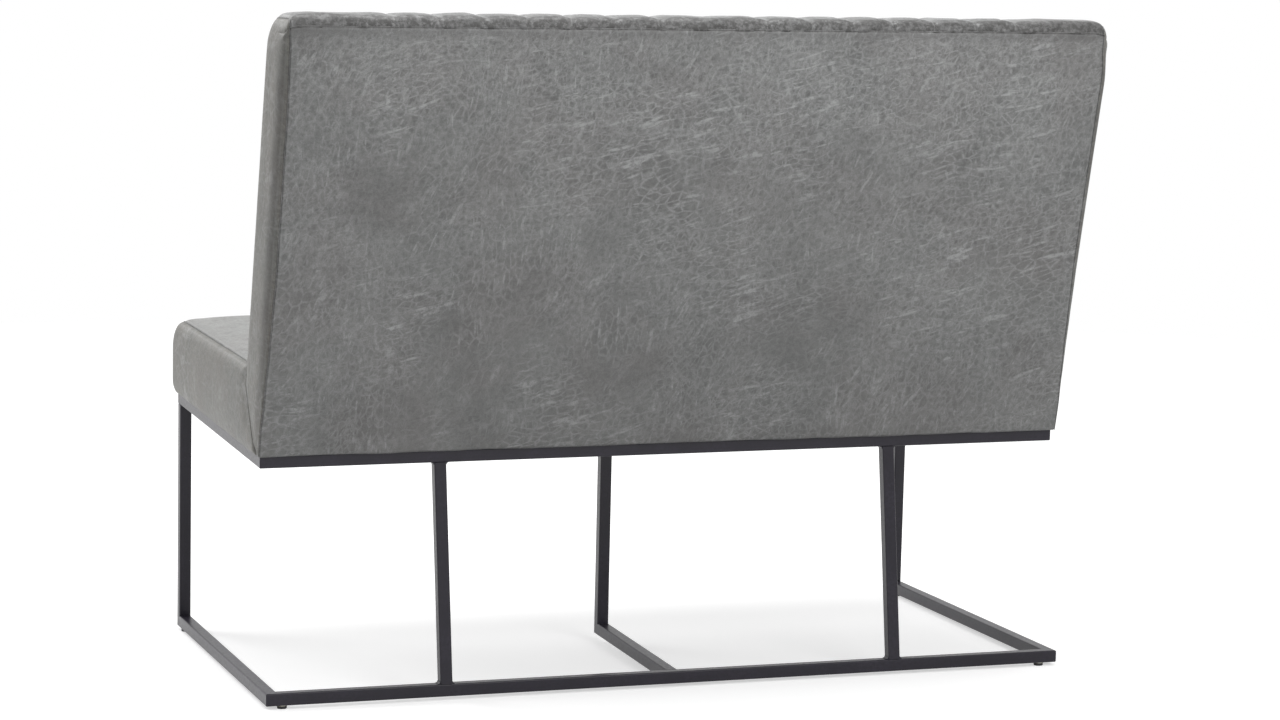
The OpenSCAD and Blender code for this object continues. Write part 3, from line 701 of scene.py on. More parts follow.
class Effects:
    """The node groups that more than one finish uses."""

    def __init__(self) -> None:
        """Builds each group once."""
        self.clouds = self.build_clouds()
        self.veins = self.build_veins()
        self.grain = self.build_grain()
        self.fibres = self.build_fibres()
        self.weave = self.build_weave()

    def build_clouds(self) -> bpy.types.NodeTree:
        """Cloudy patches: broad ones, fine ones, and a slow drift from one tint to another.

        Returns:
            The group.
        """
        group = Group("Cloudy patches", {"Scale": 1.0}, ["Broad", "Fine", "Tint"])
        graph, here = group.graph, group.scaled()
        return group.finished({
            "Broad": graph.spanned(graph.noise(here, 9.0, 5.0, 0.62, 0.4), 0.32, 0.68),
            "Fine": graph.spanned(graph.noise(here, 130.0, 5.0, 0.72, 0.2), 0.32, 0.68),
            "Tint": graph.spanned(graph.noise(here, 8.0, 3.0, 0.55, 0.5), 0.36, 0.64)})

    def build_veins(self) -> bpy.types.NodeTree:
        """Thin pale strokes that run mostly one way, in patches, with a web of finer cracks between them.

        Returns:
            The group.
        """
        usual = {"Angle": 0.4, "Length": 18.0, "Width": 260.0, "Patches": 5.0}
        group = Group("Pale strokes", usual, ["Mask"])
        graph, given = group.graph, group.given
        here = given["Vector"]
        moved = graph.vector("MULTIPLY_ADD", {0: graph.drift(here, 7.0), 1: (0.03, 0.03, 0.03), 2: here})
        turned = graph.add("VectorRotate", {"Vector": moved, "Angle": given["Angle"]},
                           rotation_type="Y_AXIS").outputs[0]
        ways = graph.add("CombineXYZ", {0: given["Length"], 1: given["Length"], 2: given["Width"]}).outputs[0]
        drawn = graph.vector("MULTIPLY", {0: turned, 1: ways})
        strokes = graph.spanned(graph.noise(drawn, 1.0, 2.0, 0.55, 0.12), 0.53, 0.7)
        patches = graph.spanned(graph.noise(here, given["Patches"], 3.0, 0.55, 0.2), 0.37, 0.58)
        breaks = graph.spanned(graph.noise(here, 150.0, 2.0, 0.6), 0.36, 0.58, 0.35, 1.0)
        edges = graph.cell_edges(graph.vector("MULTIPLY", {0: turned, 1: (52.0, 52.0, 96.0)}), 1.0)
        web = graph.times(graph.spanned(edges, 0.0, 0.16, 0.6, 0.0), breaks)
        return group.finished({"Mask": graph.times(graph.most(graph.times(strokes, breaks), web), patches)})

    def build_grain(self) -> bpy.types.NodeTree:
        """Pebbled leather grain: small cells with creases between them, and fine pores.

        Returns:
            The group.
        """
        group = Group("Leather grain", {"Scale": 420.0}, ["Height", "Crease"])
        graph, here = group.graph, group.given["Vector"]
        bend = (0.0016, 0.0016, 0.0016)
        bent = graph.vector("MULTIPLY_ADD", {0: graph.drift(here, 160.0), 1: bend, 2: here})
        crease = graph.spanned(graph.cell_edges(bent, group.given["Scale"], 0.9), 0.0, 0.16)
        pores = graph.noise(here, 1500.0, 2.0, 0.6)
        height = graph.math("ADD", graph.times(crease, 0.8), graph.times(pores, 0.35))
        return group.finished({"Height": height, "Crease": graph.math("SUBTRACT", 1.0, crease)})

    def build_fibres(self) -> bpy.types.NodeTree:
        """Drawn-out fibres of wood: growth lines and fine streaks along X.

        Returns:
            The group.
        """
        group = Group("Wood fibres", {"Scale": 1.0, "Lines": 1.0}, ["Growth", "Streaks"])
        graph, here = group.graph, group.scaled((3.0, 40.0, 40.0))
        warp = graph.noise(here, 0.6, 2.0, 0.5, 0.4)
        rings = graph.math("SINE", graph.times(warp, graph.times(group.given["Lines"], 60.0)), 0.0)
        return group.finished({"Growth": graph.spanned(rings, -1.0, 1.0),
                               "Streaks": graph.noise(here, 9.0, 4.0, 0.7)})

    def build_weave(self) -> bpy.types.NodeTree:
        """Threads that cross over and under each other along X and Y.

        Returns:
            The group.
        """
        group = Group("Woven threads", {"Scale": 1.0}, ["Height", "Gap"])
        graph, here = group.graph, group.scaled()
        waves = [graph.add("TexWave", {"Vector": here, "Scale": 0.5, "Distortion": 0.4, "Detail": 1.0},
                           wave_type="BANDS", bands_direction=way).outputs[1] for way in ("X", "Y")]
        height = graph.most(*waves)
        return group.finished({"Height": height, "Gap": graph.math("SUBTRACT", 1.0, height)})


def new_material(name: str) -> tuple[bpy.types.Material, Graph, bpy.types.Node]:
    """Starts a material.

    Args:
        name: The material's name.

    Returns:
        The material, its graph and its Principled shader.
    """
    material = bpy.data.materials.new(name)
    material.use_nodes = True
    shader = next(n for n in material.node_tree.nodes if n.type == "BSDF_PRINCIPLED")
    return material, Graph(material.node_tree), shader


@dataclass(frozen=True)
class Surface:
    """What a finish draws on: its material's graph, the shared effects, and the place on the object."""

    graph: Graph
    effects: Effects
    place: Socket

    def effect(self, group: bpy.types.NodeTree, **inputs: object) -> Sockets:
        """The outputs of a shared effect, placed with its own values."""
        return self.graph.add("Group", {"Vector": self.place, **inputs}, node_tree=group).outputs

    def clouds(self, scale: float) -> Sockets:
        """The outputs of the cloudy patches at a scale."""
        return self.effect(self.effects.clouds, Scale=scale)


@dataclass(frozen=True)
class Finish:
    """A finish: a material of one Principled shader whose sockets the kinds of finish fill."""

    name: str

    def build(self, effects: Effects) -> bpy.types.Material:
        """Makes the material.

        Args:
            effects: The shared node groups.

        Returns:
            The material.
        """
        material, graph, shader = new_material(self.name)
        place = graph.add("TexCoord", {}).outputs["Object"]
        graph.fill(shader, self.sockets(Surface(graph, effects, place)))
        return material

    def sockets(self, on: Surface) -> Values:
        """What the shader's sockets get."""
        raise NotImplementedError


@dataclass(frozen=True)
class LeatherFinish(Finish):
    """Distressed grey leather: clouded tones and tints, pale strokes, grain, darkening beside the seams, and
    painted shade and highlights.
    """

    dark: Colour = srgb(101, 101, 101)
    light: Colour = srgb(148, 148, 147)
    cool: Colour = srgb(118, 131, 128)
    warm: Colour = srgb(136, 126, 124)
    # Colour of the pale strokes, also used for the painted highlight beside the seams.
    stroke_and_highlight: Colour = srgb(190, 191, 191)
    # Dark colour for the grain's creases, the darkening beside the seams and the painted shade.
    soil_and_shade: Colour = srgb(62, 61, 60)
    tint_share: float = 0.2
    speckle: float = 0.66
    stroke_share: float = 0.8
    stroke_angle: float = radians(-13)
    cross_share: float = 0.6
    cross_turn: float = radians(-48)
    crease_share: float = 0.22
    # Strength of the painted shade in the seams, where the gap between the panels lies in shade.
    seam_shade_share: float = 0.6
    # Darkening beside the seams: its strength, and its reach in millimetres.
    beside_seam_share: float = 0.16
    beside_seam_reach: float = 20.0
    # Strength of the painted shade that the points carry.
    painted_shade_share: float = 0.6
    # Strength of the painted highlight beside the seams.
    seam_highlight_share: float = 0.1
    roughness: float = 0.5
    shine: float = 0.4
    grain_depth: float = 0.2

    def tone(self, on: Surface, clouds: Sockets) -> Socket:
        """The leather's colour away from its seams.

        Args:
            on: The material in making.
            clouds: The cloudy patches, placed in it.

        Returns:
            The colour.
        """
        graph = on.graph
        broad = graph.mixed(clouds["Broad"], self.dark, self.light)
        tinted = graph.mixed(self.tint_share, broad, graph.mixed(clouds["Tint"], self.cool, self.warm))
        fine = graph.mixed(clouds["Fine"], self.dark, self.light)
        masks: list[Socket] = []
        for turn, share, length, width, patches in (
                (0.0, self.stroke_share, 18.0, 135.0, 5.0),
                (self.cross_turn, self.cross_share, 25.0, 135.0, 6.3),
                (self.cross_turn * 1.6, self.cross_share, 30.0, 150.0, 7.1)):
            strokes = on.effect(on.effects.veins, Angle=self.stroke_angle + turn, Length=length,
                                Width=width, Patches=patches)
            masks.append(graph.times(strokes["Mask"], share))
        pale = graph.most(graph.most(masks[0], masks[1]), masks[2])
        return graph.mixed(pale, graph.mixed(self.speckle, tinted, fine), self.stroke_and_highlight)

    def painted_shade_and_darkening(self, graph: Graph, gap: Socket, clouds: Sockets) -> Socket:
        """How dark the leather is painted: painted shade in the seams and where the points carry it, and
        darkening beside the seams.

        Args:
            graph: The material's graph.
            gap: The distance to the nearest seam, in millimetres.
            clouds: The cloudy patches.

        Returns:
            The share, from 0 to 1.
        """
        # Darker within a reach of the seams, in broad patches.
        beside = graph.times(graph.spanned(gap, 0.0, self.beside_seam_reach, self.beside_seam_share, 0.0), clouds["Broad"])
        # Painted shade: a thin dark line in each seam, where the gap between the panels lies in shade.
        line = graph.times(graph.spanned(gap, 0.1, 1.3, self.seam_shade_share, 0.0),
                           graph.spanned(clouds["Broad"], 0.0, 1.0, 0.4, 1.0))
        # Painted shade that the points carry: the rear side of the top roll, a band under the rear seam, the
        # rear panel darker towards its foot, and a band on the side panels.
        shade_marks = graph.times(graph.times(graph.point_value("painted_shade"), self.painted_shade_share),
                             graph.spanned(clouds["Fine"], 0.0, 0.8, 0.45, 1.0))
        return graph.most(graph.most(beside, line), shade_marks)

    def sockets(self, on: Surface) -> Values:
        """What the shader's sockets get.

        Args:
            on: The material in making.

        Returns:
            The values and links, by socket.
        """
        graph, clouds = on.graph, on.clouds(1.0)
        grain = on.effect(on.effects.grain, Scale=420.0)
        crease = graph.times(grain["Crease"], self.crease_share)
        creased = graph.mixed(crease, self.tone(on, clouds), self.soil_and_shade)
        gap = graph.point_value("seam_gap")
        # Painted highlight: a pale line 1.4 to 5.4 mm beside each seam, where the puffed edge catches the
        # light.
        seam_highlight = graph.times(graph.spanned(gap, 1.4, 3.0), graph.spanned(gap, 3.2, 5.4, 1.0, 0.0))
        highlighted = graph.mixed(graph.times(seam_highlight, self.seam_highlight_share), creased, self.stroke_and_highlight)
        height = graph.math("ADD", grain["Height"], graph.times(clouds["Fine"], 0.6))
        return {
            "Base Color": graph.mixed(self.painted_shade_and_darkening(graph, gap, clouds), highlighted, self.soil_and_shade),
            "Roughness": graph.math("ADD", self.roughness - 0.06, graph.times(clouds["Fine"], 0.12)),
            "Specular IOR Level": self.shine,
            "Normal": graph.bumped(height, self.grain_depth, 0.4 * MM)}


@dataclass(frozen=True)
class PowderCoatFinish(Finish):
    """Satin black powder coat with a fine orange peel, handling marks and a little dust."""

    name: str = "Black powder coat"
    colour: Colour = srgb(28, 25, 35)
    dusty: Colour = srgb(42, 38, 50)
    roughness: float = 0.29
    shine: float = 0.36

    def sockets(self, on: Surface) -> Values:
        """What the shader's sockets get.

        Args:
            on: The material in making.

        Returns:
            The values and links, by socket.
        """
        graph, clouds = on.graph, on.clouds(1.6)
        peel = graph.noise(on.place, 900.0, 2.0)
        return {
            "Base Color": graph.mixed(graph.times(clouds["Broad"], clouds["Fine"]), self.colour, self.dusty),
            "Roughness": graph.math("ADD", self.roughness, graph.times(clouds["Fine"], 0.1)),
            "Specular IOR Level": self.shine,
            "Normal": graph.bumped(peel, 0.12, 0.15 * MM)}


@dataclass(frozen=True)
class MouldedFinish(Finish):
    """Matte moulded plastic with a spark-eroded texture and scuffs from the floor."""

    name: str = "Black moulded plastic"
    colour: Colour = srgb(20, 20, 22)
    scuffed: Colour = srgb(42, 41, 41)
    scuff_height: float = 1.2 * MM

    def sockets(self, on: Surface) -> Values:
        """What the shader's sockets get.

        Args:
            on: The material in making.

        Returns:
            The values and links, by socket.
        """
        graph = on.graph
        height = graph.add("SeparateXYZ", {0: on.place}).outputs["Z"]
        low = graph.spanned(height, 0.0, self.scuff_height, 0.55, 0.06)
        scuffs = graph.times(on.clouds(9.0)["Fine"], low)
        return {
            "Base Color": graph.mixed(scuffs, self.colour, self.scuffed),
            "Roughness": 0.62,
            "Normal": graph.bumped(graph.noise(on.place, 2400.0, 2.0, 0.6), 0.3, 0.1 * MM)}


@dataclass(frozen=True)
class ZincFinish(Finish):
    """Bright zinc plating with faint yellowing and fine machining marks."""

    name: str = "Zinc plated steel"
    colour: Colour = srgb(190, 192, 194)
    yellowed: Colour = srgb(176, 168, 142)

    def sockets(self, on: Surface) -> Values:
        """What the shader's sockets get.

        Args:
            on: The material in making.

        Returns:
            The values and links, by socket.
        """
        graph, clouds = on.graph, on.clouds(14.0)
        drawn = graph.vector("MULTIPLY", {0: on.place, 1: (400.0, 400.0, 4000.0)})
        return {
            "Base Color": graph.mixed(clouds["Tint"], self.colour, self.yellowed),
            "Metallic": 1.0,
            "Roughness": graph.spanned(clouds["Fine"], 0.0, 1.0, 0.28, 0.46),
            "Normal": graph.bumped(graph.noise(drawn, 1.0, 2.0), 0.15, 0.05 * MM)}


@dataclass(frozen=True)
class WoodFinish(Finish):
    """Wood seen as fibres: planed softwood, or pressed board."""

    early: Colour
    late: Colour
    scale: float
    lines: float
    growth_share: float

    def sockets(self, on: Surface) -> Values:
        """What the shader's sockets get.

        Args:
            on: The material in making.

        Returns:
            The values and links, by socket.
        """
        graph = on.graph
        fibres = on.effect(on.effects.fibres, Scale=self.scale, Lines=self.lines)
        rings = graph.mixed(graph.times(fibres["Growth"], self.growth_share), self.early, self.late)
        streaks = graph.spanned(fibres["Streaks"], 0.4, 0.75, 0.0, 0.5)
        return {
            "Base Color": graph.mixed(streaks, rings, self.late),
            "Roughness": 0.68,
            "Normal": graph.bumped(fibres["Streaks"], 0.25, 0.2 * MM)}


@dataclass(frozen=True)
class WovenFinish(Finish):
    """Woven or bonded cloth: threads with dark gaps, and lint."""

    thread: Colour
    gap: Colour
    scale: float
    depth: float

    def sockets(self, on: Surface) -> Values:
        """What the shader's sockets get.

        Args:
            on: The material in making.

        Returns:
            The values and links, by socket.
        """
        graph = on.graph
        weave = on.effect(on.effects.weave, Scale=self.scale)
        threads = graph.mixed(weave["Gap"], self.thread, self.gap)
        lint = graph.times(on.clouds(3.0)["Fine"], 0.25)
        return {
            "Base Color": graph.mixed(lint, threads, self.thread, "SCREEN"),
            "Roughness": 0.9,
            "Sheen Weight": 0.25,
            "Normal": graph.bumped(weave["Height"], 0.5, self.depth)}


@dataclass(frozen=True)
class FoamFinish(Finish):
    """Open-cell upholstery foam, cream with darker pores."""

    name: str = "Upholstery foam"
    colour: Colour = srgb(232, 216, 168)
    pore: Colour = srgb(170, 148, 98)

    def sockets(self, on: Surface) -> Values:
        """What the shader's sockets get.

        Args:
            on: The material in making.

        Returns:
            The values and links, by socket.
        """
        graph = on.graph
        grain = on.effect(on.effects.grain, Scale=700.0)
        toned = graph.mixed(graph.times(on.clouds(1.2)["Broad"], 0.25), self.colour, self.pore)
        return {
            "Base Color": graph.mixed(grain["Crease"], toned, self.pore),
            "Roughness": 0.95,
            "Normal": graph.bumped(grain["Height"], 0.6, 0.4 * MM)}


@dataclass(frozen=True)
class ThreadFinish(Finish):
    """Twisted polyester sewing thread."""

    name: str = "Sewing thread"
    colour: Colour = srgb(120, 121, 120)
    shade: Colour = srgb(72, 73, 72)

    def sockets(self, on: Surface) -> Values:
        """What the shader's sockets get.

        Args:
            on: The material in making.

        Returns:
            The values and links, by socket.
        """
        graph = on.graph
        return {
            "Base Color": graph.mixed(on.clouds(30.0)["Fine"], self.colour, self.shade),
            "Roughness": 0.7,
            "Normal": graph.bumped(graph.noise(on.place, 3000.0, 1.0), 0.4, 0.08 * MM)}


class Finishes:
    """Every finish of the bench, made once."""

    def __init__(self) -> None:
        """Builds the shared effects and then the materials."""
        effects = Effects()
        self.rear_leather = LeatherFinish("Grey leather rear").build(effects)
        # The front leather paints stronger shade on the top roll and in the seams, and a brighter painted
        # highlight beside the sewn lines.
        self.front_leather = LeatherFinish(
            "Grey leather front", dark=srgb(104, 104, 105), stroke_share=0.45, painted_shade_share=1.0,
            seam_shade_share=0.85, seam_highlight_share=0.4, roughness=0.44, shine=0.5).build(effects)
        # A darker, warmer copy of the grey leather for the side panels: the warm tint is the leather's own,
        # the darker tone is painted shade.
        self.shaded_side_leather = LeatherFinish(
            "Grey leather side painted darker", dark=srgb(79, 78, 74), light=srgb(131, 129, 123), warm=srgb(136, 120, 114),
            stroke_angle=radians(80), stroke_share=0.4, cross_share=0.2).build(effects)
        # A lighter copy of the grey leather for the seat top: painted light, as the top faces the lamps.
        self.lit_seat_leather = LeatherFinish(
            "Grey leather seat painted lighter", dark=srgb(114, 114, 112), light=srgb(155, 155, 153),
            stroke_share=0.4, cross_share=0.3).build(effects)
        self.thread = ThreadFinish().build(effects)
        self.by_slot: dict[str, bpy.types.Material] = {"grey_leather": self.rear_leather}
        for slot, finish in {
                "powder_coat": PowderCoatFinish(),
                "black_plastic": MouldedFinish(),
                "zinc_steel": ZincFinish(),
                "timber": WoodFinish("Planed softwood", srgb(214, 184, 138), srgb(168, 122, 74),
                                     1.0, 1.0, 0.5),
                "hardboard": WoodFinish("Pressed board", srgb(128, 96, 68), srgb(88, 62, 42), 4.0, 0.3, 0.2),
                "webbing": WovenFinish("Elastic webbing", srgb(66, 60, 56), srgb(26, 23, 21),
                                       900.0, 0.3 * MM),
                "foam": FoamFinish(),
                "dust_cloth": WovenFinish("Bonded dust cloth", srgb(38, 38, 39), srgb(18, 18, 18),
                                          1600.0, 0.1 * MM)}.items():
            self.by_slot[slot] = finish.build(effects)


def dress(piece: bpy.types.Object, material: bpy.types.Material) -> None:
    """Gives every face of a piece one material."""
    piece.data.materials.clear()
    piece.data.materials.append(material)


def attach(piece: bpy.types.Object, slot: str, *nodes: str) -> None:
    """Ties a piece to the bench and hides the solids that it stands for.

    Args:
        piece: The piece.
        slot: The record's material slot; not used.
        *nodes: The solids that it replaces.
    """
    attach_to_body(piece, "bench")
    if nodes:
        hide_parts(*nodes)
    log.info("%s: %d points, stands for %s", piece.name, len(piece.data.vertices), ", ".join(nodes) or "none")


def thicken(piece: bpy.types.Object, thickness: float) -> None:
    """Gives a sheet its thickness, inward.

    Args:
        piece: The sheet.
        thickness: How thick it is.
    """
    solid = piece.modifiers.new("Thickness", "SOLIDIFY")
    solid.thickness = thickness
    solid.offset = -1.0


@dataclass
class Panel:
    """A panel as a grid of points, each with its hold, its distance to the nearest seam, and its painted
    shade.
    """

    name: str
    rows: list[Row]
    holds: Numbers
    near_seam: Numbers
    painted_shade: Numbers | None = None
    outward: Vector | None = None

    def build(self) -> bpy.types.Object:
        """Makes the panel's mesh.

        Returns:
            The object, with a vertex group for the holds and attributes for the seam's distance and the
            painted shade.
        """
        faces = grid_faces(len(self.rows), len(self.rows[0]))
        piece = new_piece(self.name, [p for row in self.rows for p in row], faces)
        if self.outward is not None and piece.data.polygons[len(faces) // 2].normal.dot(self.outward) < 0:
            piece.data.flip_normals()
        group = piece.vertex_groups.new(name="hold")
        for index, hold in enumerate(h for row in self.holds for h in row):
            group.add([index], hold, "REPLACE")
        give_values(piece, "seam_gap", [d / MM for row in self.near_seam for d in row])
        if self.painted_shade is not None:
            give_values(piece, "painted_shade", [d for row in self.painted_shade for d in row])
        return piece

    def pin(self, rows: Sequence[int]) -> None:
        """Holds whole rows as firmly as a seam."""
        for j in rows:
            self.holds[j] = [Hold.SEAM.value] * len(self.holds[j])

    def upholster(self, press: ClothPress, thickness: float, material: bpy.types.Material, node: str,
                  fill: float = 0.8) -> None:
        """Makes the panel, settles it over its filling, and gives it the leather's thickness and finish.

        Args:
            press: The cloth simulation.
            thickness: How thick the leather is.
            material: Its finish.
            node: The solid that the panel stands for.
            fill: How tightly the panel is filled, from 0 to 1; not used.
        """
        piece = self.build()
        press.settle(piece)
        thicken(piece, thickness)
        fine = piece.modifiers.new("Surface", "SUBSURF")
        fine.levels = 1
        fine.render_levels = 1
        fine.boundary_smooth = "PRESERVE_CORNERS"
        dress(piece, material)
        attach(piece, "grey_leather", node)


OnPath = Callable[[float, PathPoint], float]


def swept_panel(name: str, path: Sequence[PathPoint], places: Sequence[float], lift: OnPath,
                seam_distance: OnPath, puckers: Puckers,
                moved: Callable[[Vector], Vector] = Vector.copy) -> Panel:
    """Sweeps a side view across the bench.

    Args:
        name: The piece's name.
        path: The side view, with the outside on its left.
        places: Where each point stands across the bench.
        lift: How far the leather stands off the side view.
        seam_distance: How far a point lies from the nearest seam.
        puckers: The folds and waves.
        moved: Where the padding moves each point.

    Returns:
        The panel.
    """
    panel = Panel(name, [], [], [])
    for spot in path:
        out = Vector((0.0, spot.out.x, spot.out.y))
        distances = [seam_distance(x, spot) for x in places]
        row: Row = []
        for x, distance in zip(places, distances):
            flat = Vector((x, spot.at.x, spot.at.y))
            row.append(moved(flat + out * (lift(x, spot) + puckers.lift(flat, distance))))
        panel.rows.append(row)
        panel.near_seam.append(distances)
        panel.holds.append([Hold.at(distance).value for distance in distances])
    return panel


@dataclass
class SidePatch:
    """A side panel that fills four edges of a side view and swells outward between its seams.

    The bottom and the top run from the rear to the front, and the rear and the front from the bottom up.
    """

    name: str
    side: Side
    shape: BenchShape
    bulge: float
    reach: float
    edges: dict[str, Row]
    long_steps: int
    short_steps: int
    puckers: Puckers
    # Painted shade in a band beside the rear seam, where the side turns away from the lamps: its share, its
    # depth from the rear face and its reach.
    band: float = 0.0
    band_in: float = 13 * MM
    band_reach: float = 11 * MM
    fullness: float = 4.5
    tuck: float = 7 * MM
    ripple: float = 0.7 * MM
    hidden: float = 9 * MM

    def swell(self, flat: Vector, to_seam: float, to_floor: float) -> Vector:
        """Moves a point outward with the padding, and down where the padding sags over the rail.

        Args:
            flat: The point in the side view.
            to_seam: Its distance to the nearest seam.
            to_floor: Its distance to the bottom edge.

        Returns:
            The point in space.
        """
        side = self.side.value
        gap = min(to_seam, to_floor)
        full = sqrt(1 - (1 - min(gap / self.reach, 1.0)) ** self.fullness)
        out = self.bulge * full + self.shape.fill_at(flat) * (1 - full)
        tuck = self.tuck * ease((to_floor - 2 * MM) / (4 * MM)) * (1 - ease((to_floor - 8 * MM) / (24 * MM)))
        tuck *= ease((to_seam - 2 * MM) / (20 * MM))
        ripple = self.ripple * noise.noise(Vector((flat.x / 0.045, side * 3.0, 0.5)))
        spot = Vector((side * self.shape.seam_x, flat.x, flat.y))
        spot.x += side * (out + self.puckers.lift(spot, gap))
        spot.z -= tuck + (ripple if tuck > MM else 0.0)
        return self.shape.settled(spot)

    def painted_band(self, flat: Vector) -> float:
        """How much painted shade the band beside the rear seam gets at a point.

        Args:
            flat: The point in the side view.

        Returns:
            The share, from 0 to 1.
        """
        patch = 1.0 + 0.9 * noise.noise(Vector((flat.x / 0.02, self.side.value * 5.0, flat.y / 0.045)))
        patch *= ease((self.shape.below_top(flat.y) - 25 * MM) / (45 * MM))
        return self.band * patch * bell(self.shape.depth_in_back(flat) - self.band_in, self.band_reach)

    def panel(self) -> Panel:
        """Fills the edges.

        Returns:
            The panel.
        """
        shape, rear = self.shape, self.edges["rear"]
        flat_shares = packed_ends(self.long_steps, 0.7)
        up_shares = packed_ends(self.short_steps, 0.9)
        low, high = spread(self.edges["bottom"], flat_shares), spread(self.edges["top"], flat_shares)
        back, fore = spread(rear, up_shares), spread(self.edges["front"], up_shares)
        seams = [*rear, *self.edges["top"], *self.edges["front"][::-1]]
        fold = [shape.side_foot, shape.seat_rear_top]
        panel = Panel(self.name, [], [], [], [], Vector((float(self.side.value), 0.0, 0.0)))
        for j, v in enumerate(up_shares):
            for grid in (panel.rows, panel.holds, panel.near_seam, panel.painted_shade):
                grid.append([])
            for i, u in enumerate(flat_shares):
                ruled = low[i] * (1 - v) + high[i] * v
                crossed = back[j] * (1 - u) + fore[j] * u
                corners = (low[0] * (1 - u) + low[-1] * u) * (1 - v) + (high[0] * (1 - u) + high[-1] * u) * v
                flat = ruled + crossed - corners
                to_seam, to_floor = distance_to(flat, seams), distance_to(flat, self.edges["bottom"])
                panel.rows[j].append(self.swell(flat, to_seam, to_floor))
                # Near the fold, and near the right side's rear seam, the seam distance is pushed out so that
                # no painted seam shade or highlight is drawn there.
                unshaded = distance_to(flat, fold) < to_seam + MM or (
                    self.side is Side.RIGHT and distance_to(flat, rear) < to_seam + MM)
                panel.near_seam[j].append(to_seam + (shape.seam_shade_offset if unshaded else 0.0))
                panel.painted_shade[j].append(self.painted_band(flat))
                hold = Hold.SEAM if to_floor < self.hidden else Hold.at(min(to_seam, to_floor))
                panel.holds[j].append(hold.value)
        return panel


@dataclass
class SeatCushion:
    """The seat: a top panel that rolls over the front edge, and two side panels."""

    shape: BenchShape
    crown: float = 10 * MM
    front_crown: float = 5 * MM
    front_r: float = 46 * MM
    under_r: float = 20 * MM
    rear_r: float = 9 * MM
    under_lap: float = 10 * MM
    bulge: float = 16 * MM
    side_reach: float = 58 * MM
    press: ClothPress = ClothPress(excess=0.001, bending=8.0, cap=3 * MM)
    side_press: ClothPress = ClothPress(excess=0.0, bending=8.0, cap=2 * MM)

    @cached_property
    def path(self) -> list[PathPoint]:
        """The side view of the top panel, from the crevice at the back to under the front edge.

        Returns:
            Its points.
        """
        s = self.shape
        down = s.back_u_above(s.back_t, s.seat_back_h) - s.crevice
        front = -(s.depth + s.seat_over)
        return rounded_path([
            (s.back_pt(s.back_t, down), 0.0),
            (s.seat_rear_top, self.rear_r),
            (s.seat_pt(front, s.tube + s.seat_front_h), self.front_r),
            (s.seat_pt(front, s.tube), self.under_r),
            (s.seat_pt(self.under_lap - s.depth, s.tube + 0.3 * MM), 0.0)], s.step)

    def lift(self, x: float, spot: PathPoint) -> float:
        """How far the top panel stands off the side view.

        Args:
            x: Where, across the bench.
            spot: Where, along the side view.

        Returns:
            The height, in metres.
        """
        crevice, total = self.shape.crevice, self.path[-1].run
        share = along_stops(spot.run, [
            (0.0, 0.0), (crevice, 0.0), (crevice + 0.2, 1.0), (total - 0.17, 0.9), (total - 0.05, 0.6),
            (total - 0.025, 0.0)])
        across = dome((x / self.shape.seam_x + 1) / 2, 6)
        return share * across * lerp(self.crown, self.front_crown, abs(spot.out.x))

    def build_top(self, material: bpy.types.Material) -> None:
        """Makes, settles and dresses the top panel.

        Args:
            material: Its finish.
        """
        seam_x = self.shape.seam_x
        panel = swept_panel(
            "seat_top_panel", self.path, self.shape.even_places, self.lift, lambda x, spot: seam_x - abs(x),
            Puckers(fold=0.5 * MM, wave=1.6 * MM, wave_length=190 * MM, seed=3.0))
        panel.pin((0, -1))
        panel.upholster(self.press, self.shape.leather, material, "seat_cover")

    @cached_property
    def outline(self) -> dict[str, Row]:
        """The four edges of a side panel, as depth and height, that meet at its corners.

        Returns:
            The bottom and top from the rear to the front, and the rear and front from the bottom up.
        """
        foot = self.shape.side_foot
        path = [p for p in self.path if p.run > self.shape.crevice - self.rear_r]
        ways = [(b.at - a.at).normalized() for a, b in zip(path, path[1:])]
        first = next(i for i, way in enumerate(ways)
                     if way.x * (path[i].at - foot).y - way.y * (path[i].at - foot).x > 0)
        top_arc = min(range(len(path)), key=lambda i: abs(path[i].out.x + path[i].out.y))
        low_arc = min(range(len(path)),
                      key=lambda i: abs(path[i].out.x - path[i].out.y) + (path[i].out.y > 0))
        edge = [p.at for p in path]
        return {
            "bottom": [foot, *edge[:low_arc - 1:-1]],
            "rear": [foot, edge[first]],
            "top": edge[first:top_arc + 1],
            "front": edge[top_arc:low_arc + 1][::-1]}

    def build_side(self, side: Side, material: bpy.types.Material) -> None:
        """Makes, settles and dresses a side panel.

        Args:
            side: Which side of the bench.
            material: Its finish.
        """
        puckers = Puckers(fold=0.3 * MM, wave=0.8 * MM, wave_length=150 * MM, seed=11.0 * side.value)
        patch = SidePatch(f"seat_side_{side.label}", side, self.shape, self.bulge, self.side_reach,
                          self.outline, 84, 22, puckers)
        patch.panel().upholster(self.side_press, self.shape.leather, material,
                                f"seat_side_panel_{side.label}")


